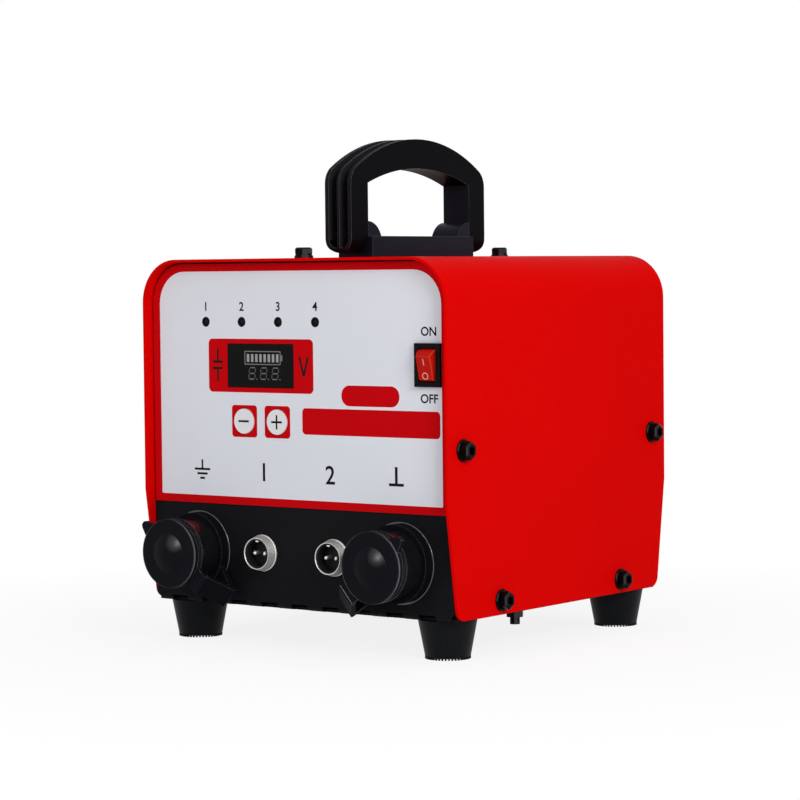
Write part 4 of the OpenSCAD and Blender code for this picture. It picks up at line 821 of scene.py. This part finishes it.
class Tree:
    """A geometry node tree with named inputs."""

    def __init__(self, name, sizes):
        self.group = bpy.data.node_groups.new(name, "GeometryNodeTree")
        self.names = {}
        face = self.group.interface
        face.new_socket("Geometry", in_out="INPUT", socket_type="NodeSocketGeometry")
        for key, value in sizes.items():
            kind = "NodeSocketInt" if isinstance(value, int) else "NodeSocketFloat"
            socket = face.new_socket(key, in_out="INPUT", socket_type=kind)
            self.names[key] = socket.identifier
        face.new_socket("Geometry", in_out="OUTPUT", socket_type="NodeSocketGeometry")
        self.sizes = sizes
        self.inputs = self.group.nodes.new("NodeGroupInput").outputs

    def node(self, kind, settings=None, sockets=None):
        made = self.group.nodes.new(kind)
        for key, value in (settings or {}).items():
            setattr(made, key, value)
        for key, value in (sockets or {}).items():
            if isinstance(value, bpy.types.NodeSocket):
                self.group.links.new(value, made.inputs[key])
            else:
                made.inputs[key].default_value = value
        return made.outputs

    def math(self, operation, first, second):
        return self.node("ShaderNodeMath", {"operation": operation}, {0: first, 1: second})[0]

    def cylinder(self, sides, radius, depth):
        """About the origin, along Z."""
        return self.node("GeometryNodeMeshCylinder", None, {"Vertices": sides, "Radius": radius,
                                                            "Depth": depth})[0]

    def cone(self, sides, bottom, top, depth):
        """On the origin, along Z. Returns all outputs."""
        return self.node("GeometryNodeMeshCone", None, {"Vertices": sides, "Radius Bottom": bottom,
                                                        "Radius Top": top, "Depth": depth})

    def extruded(self, shape, faces, height):
        """Returns all outputs."""
        return self.node("GeometryNodeExtrudeMesh", None, {"Mesh": shape, "Selection": faces,
                                                           "Offset Scale": height})

    def lifted(self, shape, height):
        where = self.node("ShaderNodeCombineXYZ", None, {"Z": height})[0]
        return self.node("GeometryNodeTransform", None, {"Geometry": shape, "Translation": where})[0]

    def on_points(self, where, shape, axes, direction):
        """The shape on each point, with one of its axes along a direction."""
        turn = self.node("FunctionNodeAlignRotationToVector", axes, {"Vector": direction})[0]
        return self.node("GeometryNodeInstanceOnPoints", None, {"Points": where, "Instance": shape,
                                                                "Rotation": turn})[0]

    def finish(self, shape, finish):
        real = self.node("GeometryNodeRealizeInstances", None, {0: shape})[0]
        done = self.node("GeometryNodeSetMaterial", None, {"Geometry": real,
                                                           "Material": finishes[finish]})[0]
        out = self.group.nodes.new("NodeGroupOutput")
        self.group.links.new(done, out.inputs[0])

    def applied(self, name, mesh, changed=None):
        made = in_scene(name, mesh)
        modifier = made.modifiers.new("tree", "NODES")
        modifier.node_group = self.group
        for key, value in {**self.sizes, **(changed or {})}.items():
            modifier[self.names[key]] = value
        return plain_mesh(made)


# Screws of the case

def screw_tree():
    """Flat washer, spring washer and a hexagon head with a hexagon socket, standing on each point."""
    tree = Tree("case_screw", {"Washer Radius": 5.5 * MM, "Washer Height": 1.3 * MM,
                               "Spring Radius": 4.2 * MM, "Spring Height": 1.0 * MM,
                               "Head Radius": 4.6 * MM, "Head Height": 2.3 * MM,
                               "Crown Height": 0.7 * MM, "Socket Depth": 1.8 * MM})
    size = tree.inputs
    washer_sides, spring_sides, head_sides = 40, 32, 6
    washer_taper, crown_taper, socket_share = 0.94, 0.8, 0.62
    half = {key: tree.math("MULTIPLY", size[key], 0.5)
            for key in ("Washer Height", "Spring Height", "Head Height")}
    washer_edge = tree.math("MULTIPLY", size["Washer Radius"], washer_taper)
    washer_low = tree.cylinder(washer_sides, size["Washer Radius"], half["Washer Height"])
    washer_top = tree.cone(washer_sides, size["Washer Radius"], washer_edge, half["Washer Height"])["Mesh"]
    spring = tree.cylinder(spring_sides, size["Spring Radius"], size["Spring Height"])
    head = tree.cylinder(head_sides, size["Head Radius"], size["Head Height"])
    crown_edge = tree.math("MULTIPLY", size["Head Radius"], crown_taper)
    crown = tree.cone(head_sides, size["Head Radius"], crown_edge, size["Crown Height"])
    rim = tree.extruded(crown["Mesh"], crown["Top"], 0.0)
    inset = tree.node("GeometryNodeScaleElements", None, {"Geometry": rim["Mesh"], "Selection": rim["Top"],
                                                          "Scale": socket_share})[0]
    depth = tree.math("MULTIPLY", size["Socket Depth"], -1.0)
    pocket = tree.extruded(inset, rim["Top"], depth)["Mesh"]
    washer_at = tree.math("MULTIPLY", half["Washer Height"], 0.5)
    spring_at = tree.math("ADD", size["Washer Height"], half["Spring Height"])
    head_foot = tree.math("ADD", size["Washer Height"], size["Spring Height"])
    head_at = tree.math("ADD", head_foot, half["Head Height"])
    crown_at = tree.math("ADD", head_foot, size["Head Height"])
    join = tree.group.nodes.new("GeometryNodeJoinGeometry")
    for shape, at in ((washer_low, washer_at), (washer_top, half["Washer Height"]), (spring, spring_at),
                      (head, head_at), (pocket, crown_at)):
        tree.group.links.new(tree.lifted(shape, at), join.inputs[0])
    facing = tree.node("GeometryNodeInputNamedAttribute", {"data_type": "FLOAT_VECTOR"},
                       {"Name": "facing"})[0]
    tree.finish(tree.on_points(size["Geometry"], join.outputs[0], {"axis": "Z"}, facing), "black_screw")
    return tree


def points(places):
    """Loose points, each with the direction it faces."""
    mesh = bpy.data.meshes.new("points")
    mesh.from_pydata([p for p, _ in places], [], [])
    facing = mesh.attributes.new("facing", "FLOAT_VECTOR", "POINT")
    for value, (_, direction) in zip(facing.data, places):
        value.vector = direction
    return mesh


def fit_screws():
    """Four on each side of the cover and two on its top, in pairs before and behind its middle."""
    low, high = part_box("cover")
    centre_y = (low.y + high.y) / 2
    upper_reach, lower_reach = 85 * MM, 53.8 * MM
    upper_z, lower_z = 102 * MM, 27 * MM
    tree = screw_tree()
    sides = []
    for side, x in ((-1, low.x), (1, high.x)):
        for reach, z in ((upper_reach, upper_z), (lower_reach, lower_z)):
            sides += [((x, centre_y + dy, z), (side, 0, 0)) for dy in (-reach, reach)]
    as_piece("side_screw_heads", tree.applied("side_screw_heads", points(sides)), "black_screw",
             replaces=["side_screws"])
    tops = [((0, centre_y + dy, high.z), (0, 0, 1)) for dy in (-upper_reach, upper_reach)]
    narrow = {"Washer Radius": 4.75 * MM}
    as_piece("top_screw_heads", tree.applied("top_screw_heads", points(tops), narrow), "black_screw",
             replaces=["top_screws"])


fit_screws()


# Feet: tapered rubber with a serrated rim, as radius and height

FOOT = [(5.5, 0.65), (10.3, 0.65), (10.85, 0.9), (11.2, 1.4), (14.45, 18.6), (14.7, 19.2), (14.4, 19.5),
        (2.7, 19.5), (2.7, 9.0), (5.5, 9.0)]


def tooth_tree():
    """Blocks that stand in a circle, each facing outward."""
    tree = Tree("rim_teeth", {"Tooth Count": 42, "Rim Radius": 10.75 * MM, "Tooth Depth": 0.95 * MM,
                              "Tooth Width": 0.8 * MM, "Tooth Height": 1.5 * MM})
    size = tree.inputs
    rim = tree.node("GeometryNodeMeshCircle", {"fill_type": "NONE"}, {"Vertices": size["Tooth Count"],
                                                                      "Radius": size["Rim Radius"]})[0]
    shape = tree.node("ShaderNodeCombineXYZ", None, {"X": size["Tooth Depth"], "Y": size["Tooth Width"],
                                                     "Z": size["Tooth Height"]})[0]
    tooth = tree.node("GeometryNodeMeshCube", None, {"Size": shape})[0]
    raised = tree.lifted(tooth, tree.math("MULTIPLY", size["Tooth Height"], 0.5))
    outward = tree.node("GeometryNodeInputPosition")[0]
    tree.finish(tree.on_points(rim, raised, {"axis": "X", "pivot_axis": "Z"}, outward), "foot_rubber")
    return tree


def fit_feet():
    tree = tooth_tree()
    for name in ("front_left", "front_right", "rear_left", "rear_right"):
        node = "foot_" + name
        at = middle(node) * MM
        teeth = tree.applied("teeth", bpy.data.meshes.new("no_points"))
        whole = joined([turned(FOOT), teeth])
        whole.transform(Matrix.Translation((at.x, at.y, 0)))
        as_piece(node + "_rubber", whole, "foot_rubber", replaces=[node])


fit_feet()


# Control sockets: tapered nickel shells with a dark liner, as radius and distance from the panel

CONTROL_SHELL = [(7.5, -12.5), (8.1, -12.5), (8.1, 0.0), (9.0, 0.0), (9.2, 0.2), (9.2, 0.8), (9.0, 1.0),
                 (8.8, 1.1), (9.05, 1.4), (7.95, 5.3), (7.9, 5.6), (7.65, 5.6), (7.5, 5.4)]
CONTROL_LINER = [(6.7, -1.0), (7.5, -1.0), (7.5, 5.0), (7.35, 5.15), (6.85, 5.15), (6.7, 5.0)]


def control_key():
    """The rib inside the shell that guides the plug."""
    wide, thick, deep, up = 1.8 * MM, 1.2 * MM, 4.8 * MM, 6.5 * MM
    bm = bmesh.new()
    bmesh.ops.create_cube(bm, size=1, matrix=Matrix.Translation((0, up, deep / 2))
                          @ Matrix.Diagonal((wide, thick, deep, 1)))
    return as_mesh(bm, "key")


def fit_control_sockets():
    for side in SIDES:
        node = side + "control_socket"
        at = middle(node) * MM
        shell = joined([turned(CONTROL_SHELL, FINE_ROUND), control_key()])
        liner = turned(CONTROL_LINER, FINE_ROUND)
        for mesh in (shell, liner):
            mesh.transform(facing_front(at.x, PANEL_FACE, at.z))
        as_piece(node + "_shell", shell, "nickel", replaces=[node])
        as_piece(node + "_liner", liner, "black_plastic")


fit_control_sockets()


# Stage: pale floor that fades into a white surround, soft lamps as name, place, width and power

WHITE = (1, 1, 1, 1)
FLOOR_GREY = (0.86, 0.86, 0.86, 1)
FLOOR_REACH = 12
FADE_FROM = 0.1
FADE_TO = 0.38
FADE_SHARE = 0.14
AMBIENT = 0.37
LAMP_AIM = Vector((0, 0, 0.11))
SOFT_LAMPS = (("side_lamp", (1.05, -0.5, 0.62), 0.4, 7.0),
              ("front_lamp", (-0.1, -2.2, 0.98), 0.45, 7.9),
              ("top_lamp", (0.1, 0.2, 2.3), 0.9, 5.5))


def seen_directly(f):
    """1 where a surface is seen by the camera, or in metal or glass."""
    path = f.tree.nodes.new("ShaderNodeLightPath")
    camera, glossy, through = (Value(f, path.outputs[name])
                               for name in ("Is Camera Ray", "Is Glossy Ray", "Is Transmission Ray"))
    return camera.math("MAXIMUM", glossy).math("MAXIMUM", through)


def floor_finish():
    """Pale for light that falls on it. To the eye it glows white, with a faint shadow near the machine."""
    f = Finish("floor")
    away = f.node("ShaderNodeVectorMath", {"operation": "LENGTH"}, {0: f.place}, take="Value")
    near = f.node("ShaderNodeMapRange", {"clamp": True}, {"Value": away, "From Min": FADE_FROM,
                                                          "From Max": FADE_TO, "To Min": FADE_SHARE,
                                                          "To Max": 0.0})
    pale = f.node("ShaderNodeBsdfDiffuse", None, {"Color": FLOOR_GREY})
    white = f.node("ShaderNodeEmission", None, {"Color": WHITE, "Strength": 1.0})
    seen = f.node("ShaderNodeMixShader", None, {0: near, 1: white, 2: pale})
    whole = f.node("ShaderNodeMixShader", None, {0: seen_directly(f), 1: pale, 2: seen})
    f.node("ShaderNodeOutputMaterial", None, {"Surface": whole}, take=None)
    return f.material


def lay_floor():
    mesh = bpy.data.meshes.new("floor")
    corners = [(x * FLOOR_REACH, y * FLOOR_REACH, 0) for x, y in ((-1, -1), (1, -1), (1, 1), (-1, 1))]
    mesh.from_pydata(corners, [], [(0, 1, 2, 3)])
    mesh.materials.append(floor_finish())
    floor = in_scene("floor", mesh)


class Surround(Finish):
    """The world's shader, built the same way as a material."""

    def __init__(self, world):
        world.use_nodes = True
        self.tree = world.node_tree
        self.tree.nodes.clear()


def light_surround():
    """White to the eye and in reflections, dimmer as a source of light."""
    scene.world = bpy.data.worlds.new("surround")
    f = Surround(scene.world)
    strength = seen_directly(f) * (1 - AMBIENT) + AMBIENT
    glow = f.node("ShaderNodeBackground", None, {"Color": WHITE, "Strength": strength})
    f.node("ShaderNodeOutputWorld", None, {"Surface": glow}, take=None)


def hang_lamps():
    for name, place, width, power in SOFT_LAMPS:
        data = bpy.data.lights.new(name, "AREA")
        data.size = width
        data.energy = power
        lamp = in_scene(name, data)
        lamp.location = place
        lamp.rotation_euler = (LAMP_AIM - Vector(place)).to_track_quat("-Z", "Y").to_euler()


lay_floor()
light_surround()
hang_lamps()
